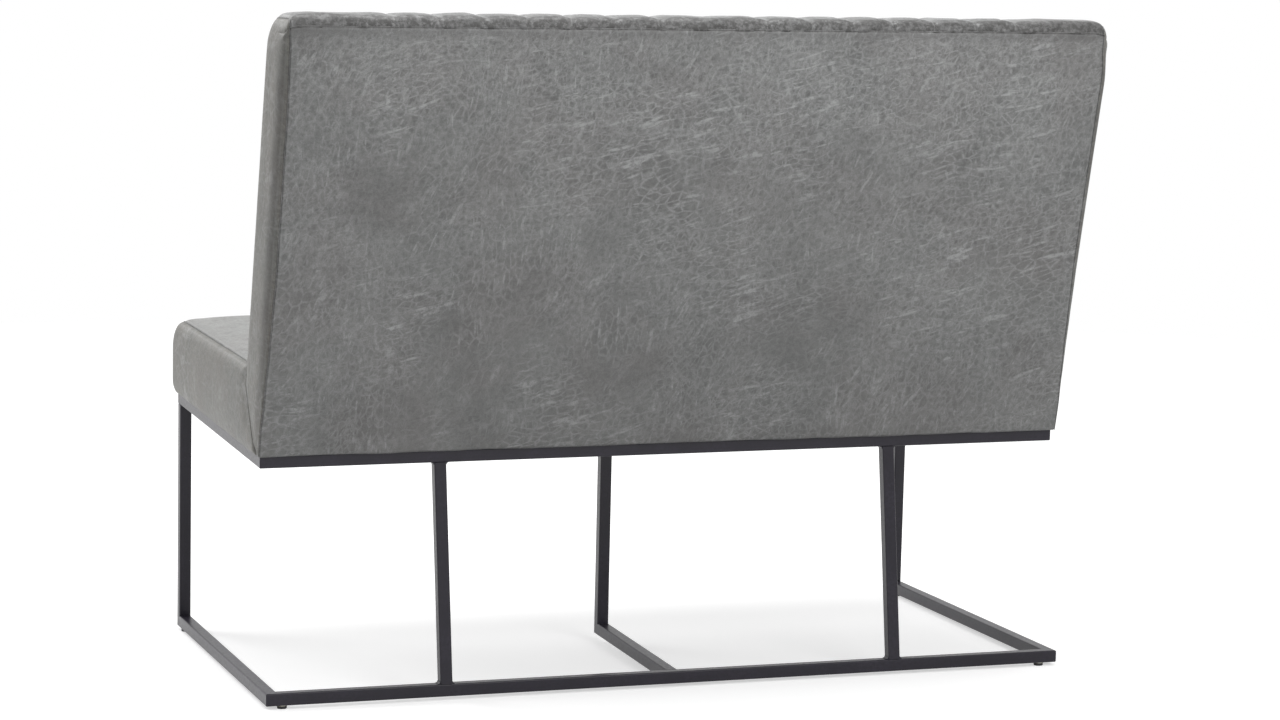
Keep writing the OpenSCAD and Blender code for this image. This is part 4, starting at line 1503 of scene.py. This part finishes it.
@dataclass
class Backrest:
    """The back: a channelled front that rolls over the top, a plain rear panel and two side panels."""

    shape: BenchShape
    seat: SeatCushion
    front_r: float = 40 * MM
    rear_r: float = 12 * MM
    foot_r: float = 5 * MM
    foot_lap: float = 7 * MM
    pinned_foot: float = 15 * MM
    rear_crown: float = 4 * MM
    middle_panel: float = 80 * MM
    end_panel: float = 146 * MM
    channels: int = 6
    channel_puff: float = 9 * MM
    top_puff: float = 0.6
    rear_puff: float = 0.42
    seam_puff: float = 0.1
    side_reach: float = 55 * MM
    # Share of painted shade in the side panels' band beside the rear seam.
    side_band: float = 0.8
    rail_lap: tuple[float, float] = (1.2 * MM, 0.8 * MM)
    front_press: ClothPress = ClothPress(excess=0.012)
    rear_press: ClothPress = ClothPress(excess=0.003, bending=8.0, cap=3 * MM)
    side_press: ClothPress = ClothPress(excess=0.0, bending=8.0, cap=2 * MM)
    # Painted shade along the front panel from the rear seam: the rear side of the top roll, darkest at the
    # seam.
    front_painted_shade: Stops = ((0.0, 1.0), (0.02, 0.95), (0.036, 0.6), (0.056, 0.1), (0.08, 0.0))
    # Painted shade down the rear panel from the rear seam: a band just under the seam, then darker towards
    # the foot.
    rear_painted_shade: Stops = ((0.0, 0.9), (0.008, 0.6), (0.018, 0.0), (0.08, 0.0), (0.22, 0.26), (0.6, 0.5))

    @cached_property
    def seams(self) -> list[float]:
        """Where the sewn lines and the side seams stand across the bench.

        Returns:
            Their places, in order.
        """
        width = (self.shape.seam_x - self.end_panel - self.middle_panel) / self.channels
        right = [self.middle_panel + i * width for i in range(self.channels + 1)]
        return [-self.shape.seam_x, *[-x for x in reversed(right)], *right, self.shape.seam_x]

    def top_corner(self, v: float) -> Vector:
        """The back's top at a depth, before it is rounded."""
        return self.shape.back_pt(v, self.shape.back_u_at(v, self.shape.back_h))

    @cached_property
    def front_path(self) -> list[PathPoint]:
        """The side view of the front panel, from the rear seam over the top and down to the crevice.

        Returns:
            Its points.
        """
        s = self.shape
        down = s.back_u_above(s.back_t, s.seat_back_h) - s.crevice
        return rounded_path([
            (s.rear_seam, 0.0),
            (self.top_corner(0.0), self.rear_r),
            (self.top_corner(s.back_t), self.front_r),
            (s.back_pt(s.back_t, down), 0.0)], s.step)

    @cached_property
    def rear_path(self) -> list[PathPoint]:
        """The side view of the rear panel, from under its foot up to the rear seam.

        Returns:
            Its points.
        """
        s = self.shape
        lap = s.seat_pt(-self.foot_lap, s.tube + 0.3 * MM)
        return rounded_path([(lap, 0.0), (s.back_foot, self.foot_r), (s.rear_seam, 0.0)], s.step)

    def puff(self, x: float, flatness: float) -> float:
        """The height of the padding across the bench, with nothing on the sewn lines.

        Args:
            x: Where, across the bench.
            flatness: 1 where the channels are flat between narrow grooves, 0 where they are round.

        Returns:
            The height, in metres.
        """
        seams = self.seams
        index = next((i for i, end in enumerate(seams[1:]) if x <= end), len(seams) - 2)
        share = (x - seams[index]) / (seams[index + 1] - seams[index])
        plain = index in (0, self.channels + 1, len(seams) - 2)
        return self.channel_puff * dome(min(max(share, 0.0), 1.0), 4.5 if plain else lerp(2.3, 4.5, flatness))

    def places(self) -> list[float]:
        """Where the front panel's points stand across the bench, closer together near the sewn lines.

        Returns:
            The places, in order.
        """
        found = [self.seams[0]]
        for start, end in zip(self.seams, self.seams[1:]):
            count = max(10, round((end - start) / self.shape.step))
            found += [lerp(start, end, s) for s in packed_ends(count, 0.6)[1:]]
        return found

    def build_front(self, material: bpy.types.Material) -> None:
        """Makes, settles and dresses the front panel.

        Args:
            material: Its finish.
        """
        path = self.front_path
        top, total = self.shape.back_t, path[-1].run
        crevice = total - self.shape.crevice
        flats = [(0.0, 1.0), (top, 1.0), (top + 0.07, 0.0), (total, 0.0)]
        weights = [(0.0, self.seam_puff), (0.013, self.seam_puff * 2), (0.03, self.rear_puff),
                   (0.058, self.top_puff), (0.078, self.top_puff * 0.9), (top, self.top_puff * 0.7),
                   (top + 0.05, 1.0), (crevice - 0.05, 1.0), (crevice + 0.005, 0.35), (total, 0.0)]
        panel = swept_panel(
            "back_front_panel", path, self.places(),
            lambda x, spot: self.puff(x, along_stops(spot.run, flats)) * along_stops(spot.run, weights),
            lambda x, spot: min(min(abs(x - seam) for seam in self.seams), spot.run + 1e-5),
            Puckers(fold=1.0 * MM, fold_length=11 * MM, wave=0.9 * MM, wave_length=60 * MM, seed=21.0),
            self.shape.settled)
        panel.pin((0, -1))
        panel.painted_shade = [[along_stops(spot.run, self.front_painted_shade)] * len(panel.rows[0]) for spot in path]
        panel.upholster(self.front_press, self.shape.leather, material, "back_front_cover", 0.7)

    def build_rear(self, material: bpy.types.Material) -> None:
        """Makes, settles and dresses the plain rear panel.

        Args:
            material: Its finish.
        """
        path, shape = self.rear_path, self.shape
        total, seam_x = path[-1].run, shape.seam_x

        def lift(x: float, spot: PathPoint) -> float:
            """How far the panel stands off the side view.

            Args:
                x: Where, across the bench.
                spot: Where, along the side view.

            Returns:
                The height of its crown, and of its lower edge, which sags over the rail in waves.
            """
            crown = self.rear_crown * dome((x / seam_x + 1) / 2, 6) * dome(
                min(max((spot.run - 0.02) / (total - 0.02), 0.0), 1.0), 6)
            low = ease((spot.run - 7 * MM) / (4 * MM)) * (1 - ease((spot.run - 13 * MM) / (10 * MM)))
            lap, ripple = self.rail_lap
            return crown + low * (lap + ripple * noise.noise(Vector((x / 0.05, 7.0, 0.0))))

        places = shape.even_places
        panel = swept_panel(
            "back_rear_panel", path, places, lift, lambda x, spot: min(seam_x - abs(x), total - spot.run),
            Puckers(fold=0.6 * MM, wave=1.3 * MM, wave_length=130 * MM, seed=31.0), shape.settled)
        panel.pin([-1, *(j for j, spot in enumerate(path) if spot.run < self.pinned_foot)])
        # Along the right side's rear seam the seam distance is pushed out so that no painted seam shade or
        # highlight is drawn there.
        for j, spot in enumerate(path):
            panel.near_seam[j] = [
                gap + (shape.seam_shade_offset if x < 0.02 - seam_x and total - spot.run > gap else 0.0)
                for gap, x in zip(panel.near_seam[j], places)]
        panel.painted_shade = [[along_stops(total - spot.run, self.rear_painted_shade)] * len(places) for spot in path]
        panel.upholster(self.rear_press, shape.leather, material, "back_rear_cover")

    @cached_property
    def outline(self) -> dict[str, Row]:
        """The four edges of a side panel, as depth and height.

        Returns:
            The bottom and top from the rear to the front, and the rear and front from the bottom up.
        """
        s = self.shape
        upper = [p.at for p in self.front_path]
        rear = [p.at for p in self.rear_path if p.run > self.pinned_foot]
        arc_rear = min(range(12), key=lambda i: (upper[i] - self.top_corner(0.0)).length)
        arc_front = min(range(len(upper)), key=lambda i: (upper[i] - self.top_corner(s.back_t)).length)
        down = [p for p in upper[arc_front:] if p.y > s.seat_rear_top.y + 2 * MM]
        return {
            "bottom": [s.back_foot, s.side_foot],
            "rear": [s.back_foot, *rear, *upper[1:arc_rear + 1]],
            "top": upper[arc_rear:arc_front + 1],
            "front": [s.side_foot, self.seat.outline["rear"][-1], *down[::-1]]}

    def build_side(self, side: Side, material: bpy.types.Material) -> None:
        """Makes, settles and dresses a side panel.

        Args:
            side: Which side of the bench.
            material: Its finish.
        """
        puckers = Puckers(fold=0.4 * MM, wave=0.8 * MM, wave_length=150 * MM, seed=41.0 * side.value)
        patch = SidePatch(f"back_side_{side.label}", side, self.shape, self.shape.bulge, self.side_reach,
                          self.outline, 22, 96, puckers, self.side_band)
        patch.panel().upholster(self.side_press, self.shape.leather, material,
                                f"back_side_panel_{side.label}")


@dataclass
class StitchRows:
    """The rows of stitches that make the channels: short lengths of thread sunk in the sewn lines."""

    back: Backrest
    pitch: float = 4.6 * MM
    length: float = 3.5 * MM
    radius: float = 0.42 * MM
    raised: float = 0.35
    sides: int = 5
    rings: Stops = ((-0.5, 0.35), (-0.34, 1.0), (0.34, 1.0), (0.5, 0.35))

    def build(self, material: bpy.types.Material) -> None:
        """Makes every stitch of every row as one piece.

        Args:
            material: The thread's finish.
        """
        path, shape = self.back.front_path, self.back.shape
        line = [p.at for p in path]
        total = path[-1].run
        count = int((total - shape.crevice) / self.pitch)
        points: Row = []
        faces: list[Face] = []
        for centre in spread(line, [(i + 0.5) * self.pitch / total for i in range(count)]):
            out = min(path, key=lambda p: (p.at - centre).length_squared).out
            along, up = Vector((0.0, -out.y, out.x)), Vector((0.0, out.x, out.y))
            for x in self.back.seams[1:-1]:
                faces += rod_faces(len(self.rings), self.sides, len(points))
                middle = shape.settled(Vector((x, centre.x, centre.y)) + up * self.raised * MM)
                for shift, swell in self.rings:
                    for k in range(self.sides):
                        turn = 2 * pi * k / self.sides
                        spoke = Vector((1.0, 0.0, 0.0)) * cos(turn) + up * sin(turn)
                        points.append(middle + along * self.length * shift + spoke * self.radius * swell)
        piece = new_piece("quilting_stitches", points, faces)
        dress(piece, material)
        attach(piece, "grey_leather")


@dataclass
class SeamWelts:
    """The narrow welts of turned leather that lie in the seams between the panels."""

    back: Backrest
    radius: float = 0.5 * MM
    sides: int = 8
    shade_gap: float = 0.7
    closest: float = 0.2 * MM

    def lines(self) -> list[Row]:
        """The seams as lines in space.

        Returns:
            The lines: each side's seat and back, and the rear seam.
        """
        shape, seat, back = self.back.shape, self.back.seat.outline, self.back.outline
        flat_lines = ([*seat["top"], *seat["front"][-2::-1]],
                      [*back["rear"], *back["top"][1:], *back["front"][2:][::-1]])
        x = shape.seam_x
        found = [[shape.settled(Vector((side * (x + 0.1 * MM), p.x, p.y))) for p in line]
                 for side in (-1, 1) for line in flat_lines]
        rear = shape.rear_seam
        across = [lerp(-x, x, i / 120) for i in range(121)]
        return [*found, [shape.settled(Vector((at, rear.x - 0.5 * MM, rear.y))) for at in across]]

    def tube(self, line: Row) -> Row:
        """Wraps rings of points round a line in space.

        Args:
            line: The line.

        Returns:
            The rings' points.
        """
        made: Row = []
        normal = (line[1] - line[0]).orthogonal().normalized()
        for i, here in enumerate(line):
            way = (line[min(i + 1, len(line) - 1)] - line[max(i - 1, 0)]).normalized()
            normal = (normal - way * normal.dot(way)).normalized()
            side = way.cross(normal)
            for k in range(self.sides):
                turn = 2 * pi * k / self.sides
                made.append(here + (normal * cos(turn) + side * sin(turn)) * self.radius)
        return made

    def build(self, material: bpy.types.Material) -> None:
        """Makes all the welts as one piece.

        Args:
            material: Their finish.
        """
        points: Row = []
        faces: list[Face] = []
        for line in self.lines():
            distinct = [line[0]]
            for p in line[1:]:
                if (p - distinct[-1]).length > self.closest:
                    distinct.append(p)
            faces += ring_faces(len(distinct), self.sides, len(points))
            points += self.tube(distinct)
        piece = new_piece("seam_welts", points, faces)
        give_values(piece, "seam_gap", [self.shade_gap] * len(points))
        dress(piece, material)
        attach(piece, "grey_leather")


@dataclass
class DustCloth:
    """The black cloth under the seat, stapled to the timber and sagging a little between the rails."""

    shape: BenchShape
    edge_in: float = 12 * MM
    front_in: float = 4 * MM
    back_in: float = 24 * MM
    taut: float = 60 * MM
    slack_reach: float = 160 * MM
    sag: float = 5 * MM
    wrinkle: float = 0.4 * MM
    below: float = 0.65 * MM
    thickness: float = 0.5 * MM
    columns: int = 96
    lines: int = 44

    def build(self, material: bpy.types.Material) -> None:
        """Makes and dresses the cloth.

        Args:
            material: Its finish.
        """
        s = self.shape
        half = s.width / 2 - self.edge_in
        y0, y1 = self.front_in - s.depth, -self.back_in
        rows: list[Row] = []
        for y in (lerp(y0, y1, i / self.lines) for i in range(self.lines + 1)):
            row: Row = []
            for x in (lerp(-half, half, i / self.columns) for i in range(self.columns + 1)):
                gap = min(half - abs(x), abs(x), y - y0, y1 - y) - self.taut
                wrinkle = self.wrinkle * noise.noise(Vector((x / 0.03, y / 0.09, 1.0)))
                drop = (self.sag + wrinkle) * ease(gap / self.slack_reach)
                p = s.seat_pt(y, s.tube + self.below - drop)
                row.append(Vector((x, p.x, p.y)))
            rows.append(row)
        even = [[0.0] * len(row) for row in rows]
        piece = Panel("dust_cloth_sheet", rows, even, even).build()
        thicken(piece, self.thickness)
        dress(piece, material)
        attach(piece, "dust_cloth", "dust_cover")


@dataclass
class Webbing:
    """Elastic straps over the timber, under the foam."""

    shape: BenchShape
    width: float = 60 * MM
    thickness: float = 1.4 * MM
    seat_straps: int = 9
    back_straps: int = 5
    steps: int = 28
    across: Sequence[float] = (-0.5, -0.46, -0.2, 0.0, 0.2, 0.46, 0.5)
    sag: float = 4 * MM
    sag_reach: float = 150 * MM
    end_in: float = 5 * MM
    box_in: float = 12 * MM
    box_front: float = 4 * MM
    box_rear: float = 24 * MM
    box_rail_w: float = 45 * MM
    box_top: float = 53.8 * MM
    stile_front: float = 47 * MM
    u_low: float = 68 * MM
    u_high: float = 523 * MM

    def join(self, name: str, node: str, straps: Sequence[list[Row]], material: bpy.types.Material) -> None:
        """Joins straps into one piece.

        Args:
            name: The piece's name.
            node: The solid that it stands for.
            straps: For each strap, its rows of points.
            material: Its finish.
        """
        points: Row = []
        faces: list[Face] = []
        for grid in straps:
            faces += turned_over(grid_faces(len(grid), len(grid[0]), len(points)))
            points += [p for row in grid for p in row]
        piece = new_piece(name, points, faces)
        thicken(piece, self.thickness)
        dress(piece, material)
        attach(piece, "webbing", node)

    def seat_strap(self, x: float) -> list[Row]:
        """A strap of the seat, which sags between the front and the rear rail.

        Args:
            x: Where it stands across the bench.

        Returns:
            Its rows of points, from the front to the rear.
        """
        s = self.shape
        y0, y1 = self.box_front - s.depth + self.end_in, -self.box_rear - self.end_in
        grid: list[Row] = []
        for j in range(self.steps + 1):
            y = lerp(y0, y1, j / self.steps)
            free = ease((min(y - y0, y1 - y) - self.box_rail_w) / self.sag_reach)
            sag = self.sag * free if abs(x) > self.width else 0.0
            p = s.seat_pt(y, self.box_top + self.thickness - sag)
            grid.append([Vector((x + a * self.width, p.x, p.y)) for a in self.across])
        return grid

    def back_strap(self, u: float) -> list[Row]:
        """A strap of the back.

        Args:
            u: Its height along the back.

        Returns:
            Its rows of points, from one end to the other.
        """
        reach = self.shape.width / 2 - self.box_in - self.end_in
        front = self.stile_front + self.thickness
        spots = [self.shape.back_pt(front, u + a * self.width) for a in self.across]
        return [[Vector((lerp(-reach, reach, j / self.steps), p.x, p.y)) for p in spots]
                for j in range(self.steps + 1)]

    def build(self, material: bpy.types.Material) -> None:
        """Makes the straps of the seat and of the back.

        Args:
            material: Their finish.
        """
        span = self.shape.width / 2 - self.box_in - self.box_rail_w - self.width / 2
        self.join("seat_straps", "seat_webbing", [
            self.seat_strap(lerp(-span, span, i / (self.seat_straps - 1))) for i in range(self.seat_straps)],
            material)
        self.join("back_straps", "back_webbing", [
            self.back_strap(lerp(self.u_low, self.u_high, i / (self.back_straps - 1)))
            for i in range(self.back_straps)], material)


@dataclass
class Foam:
    """The foam of the seat and of the back: two blocks with softened edges, clear of timber and leather."""

    shape: BenchShape
    half_width: float = 596 * MM
    edge: float = 9 * MM
    step: float = 12 * MM
    edge_steps: Stops = ((0.0, 1.0), (0.35, 0.45), (1.0, 0.0))
    between: Sequence[float] = (-0.3, -0.1, 0.1, 0.3)
    under_leather: float = 12 * MM
    timber_top: float = 56 * MM
    seat_front_in: float = 11 * MM
    seat_rear: float = 125 * MM
    seat_rear_top: float = 130 * MM
    back_rear: float = 50 * MM
    back_front_in: float = 13 * MM
    back_low: float = 60 * MM

    def block(self, name: str, node: str, corners: Sequence[tuple[Vector, float]],
              material: bpy.types.Material) -> None:
        """Makes and dresses a block.

        Args:
            name: The piece's name.
            node: The solid that it stands for.
            corners: Its side view: each corner, and the radius that rounds it.
            material: Its finish.
        """
        path = rounded_path([*corners, corners[0]], self.step)[:-1]
        centre = sum((p.at for p in path), Vector((0.0, 0.0))) / len(path)
        sections = [(-self.half_width + e * self.edge, i) for e, i in self.edge_steps]
        sections += [(x, 0.0) for x in self.between]
        sections += [(self.half_width - e * self.edge, i) for e, i in reversed(self.edge_steps)]
        points: Row = []
        for x, inset in sections:
            for p in path:
                at = p.at + (centre - p.at).normalized() * inset * self.edge
                points.append(Vector((x, at.x, at.y)))
        piece = new_piece(name, points, rod_faces(len(sections), len(path)))
        dress(piece, material)
        attach(piece, "foam", node)

    def build(self, material: bpy.types.Material) -> None:
        """Makes both blocks.

        Args:
            material: Their finish.
        """
        s, under = self.shape, self.under_leather
        front = -(s.depth + s.seat_over - self.seat_front_in)
        self.block("seat_foam_block", "seat_foam", [
            (s.seat_pt(-self.seat_rear, self.timber_top), 6 * MM),
            (s.seat_pt(-self.seat_rear_top, s.tube + s.seat_back_h - under), 12 * MM),
            (s.seat_pt(front, s.tube + s.seat_front_h - under), 28 * MM),
            (s.seat_pt(front, self.timber_top), 14 * MM)], material)
        v0, v1 = self.back_rear, s.back_t - self.back_front_in
        self.block("back_foam_block", "back_foam", [
            (s.back_pt(v0, s.back_u_above(v0, self.back_low)), 6 * MM),
            (s.back_pt(v0, s.back_u_at(v0, s.back_h - under)), 8 * MM),
            (s.back_pt(v1, s.back_u_at(v1, s.back_h - under)), 26 * MM),
            (s.back_pt(v1, s.back_u_above(v1, self.back_low)), 6 * MM)], material)


@dataclass(frozen=True)
class SteelAndTimber:
    """The carried-over solids, each dressed in the finish of its material slot."""

    finishes: Finishes

    def dress_all(self) -> None:
        """Dresses every solid."""
        for part in frame["record"]["subparts"]:
            dress(frame["nodes"][part["node"]], self.finishes.by_slot[part["material_slot"]])


@dataclass(frozen=True)
class SoftBox:
    """A large soft lamp."""

    name: str
    place: Spot
    aim: Spot
    size: float
    power: float

    def build(self) -> None:
        """Makes the lamp and turns it to its aim."""
        lamp = bpy.data.lights.new(self.name, "AREA")
        lamp.shape = "DISK"
        lamp.size = self.size
        lamp.energy = self.power
        piece = bpy.data.objects.new(self.name, lamp)
        piece.location = self.place
        piece.rotation_euler = (Vector(self.aim) - Vector(self.place)).to_track_quat("-Z", "Y").to_euler()
        bpy.context.scene.collection.objects.link(piece)


@dataclass(frozen=True)
class Studio:
    """The pale floor, the white surroundings, the lamps and the camera at the photograph's angle."""

    floor_rings: Sequence[float] = (1.5, 3.5, 4.8)
    floor_sides: int = 64
    floor_colour: Colour = (0.5, 0.5, 0.5, 1.0)
    floor_seen: Colour = (0.76, 0.76, 0.76, 1.0)
    floor_glow: float = 0.51
    ambient: float = 0.44
    lens: float = 103.15
    sensor: float = 36.0
    eye: Spot = (1.73623, 5.22518, 1.10478)
    yaw: float = 0.325
    pitch: float = -0.1179
    roll: float = 0.0123
    lamps: Sequence[SoftBox] = (
        SoftBox("key_lamp", (3.2, -3.3, 3.2), (0.0, 0.0, 0.5), 2.6, 110.0),
        SoftBox("top_lamp", (0.0, 0.0, 4.2), (0.0, 0.0, 0.4), 3.2, 105.0),
        SoftBox("rear_lamp", (-0.7, 3.0, 2.2), (0.0, 0.3, 0.85), 1.6, 34.0))

    def build_floor(self) -> None:
        """Makes the floor, which keeps the shadow and looks white to the camera."""
        sides = self.floor_sides
        turns = [2 * pi * k / sides for k in range(sides)]
        points = [Vector((0.0, 0.0, 0.0))]
        points += [Vector((radius * cos(turn), radius * sin(turn), 0.0))
                   for radius in self.floor_rings for turn in turns]
        faces: list[Face] = [(0, 1 + k, 1 + (k + 1) % sides) for k in range(sides)]
        floor = new_piece("studio_floor", points, [
            *faces, *turned_over(ring_faces(len(self.floor_rings), sides, 1))])
        material, graph, shader = new_material("Pale floor")
        seen = graph.seen()
        graph.fill(shader, {
            "Roughness": 0.95, "Specular IOR Level": 0.0, "Emission Color": WHITE,
            "Emission Strength": graph.times(seen, self.floor_glow),
            "Base Color": graph.mixed(seen, self.floor_colour, self.floor_seen)})
        dress(floor, material)

    def build_world(self) -> None:
        """Makes the surroundings: white where they are seen, and a plain ambient light."""
        world = bpy.data.worlds.new("Studio surroundings")
        world.use_nodes = True
        bpy.context.scene.world = world
        graph = Graph(world.node_tree)
        background = next(n for n in world.node_tree.nodes if n.type == "BACKGROUND")
        level = graph.add("MapRange", {"Value": graph.seen(), "To Min": self.ambient, "To Max": 1.0})
        graph.fill(background, {"Color": WHITE, "Strength": level.outputs[0]})

    def build_camera(self) -> None:
        """Places the camera where the photograph was taken from."""
        level = cos(self.pitch)
        forward = Vector((-sin(self.yaw) * level, -cos(self.yaw) * level, sin(self.pitch)))
        flat = forward.cross(Vector((0.0, 0.0, 1.0))).normalized()
        rise = flat.cross(forward)
        right = flat * cos(self.roll) + rise * sin(self.roll)
        up = rise * cos(self.roll) - flat * sin(self.roll)
        data = bpy.data.cameras.new("photo_camera")
        data.lens = self.lens
        data.sensor_width = self.sensor
        data.sensor_fit = "HORIZONTAL"
        data.clip_start = 0.05
        data.clip_end = 60.0
        camera = bpy.data.objects.new("photo_camera", data)
        turn = Matrix((right, up, -forward)).transposed().to_4x4()
        camera.matrix_world = Matrix.Translation(self.eye) @ turn
        bpy.context.scene.collection.objects.link(camera)
        bpy.context.scene.camera = camera

    def build(self) -> None:
        """Makes the whole studio."""
        bpy.context.scene.view_settings.view_transform = "Standard"
        self.build_camera()
        self.build_world()
        self.build_floor()
        for lamp in self.lamps:
            lamp.build()
        log.info("studio ready")


def main() -> None:
    """Builds every part of the scene in order."""
    logging.basicConfig(level=logging.INFO, format="%(asctime)s %(name)s: %(message)s", datefmt="%H:%M:%S")
    Studio().build()
    finishes = Finishes()
    SteelAndTimber(finishes).dress_all()
    shape = BenchShape()
    seat = SeatCushion(shape)
    back = Backrest(shape, seat)
    seat.build_top(finishes.lit_seat_leather)
    for side in (Side.RIGHT, Side.LEFT):
        seat.build_side(side, finishes.shaded_side_leather)
        back.build_side(side, finishes.shaded_side_leather)
    back.build_front(finishes.front_leather)
    back.build_rear(finishes.rear_leather)
    StitchRows(back).build(finishes.thread)
    SeamWelts(back).build(finishes.rear_leather)
    DustCloth(shape).build(finishes.by_slot["dust_cloth"])
    Webbing(shape).build(finishes.by_slot["webbing"])
    Foam(shape).build(finishes.by_slot["foam"])


if __name__ == "__main__":
    main()
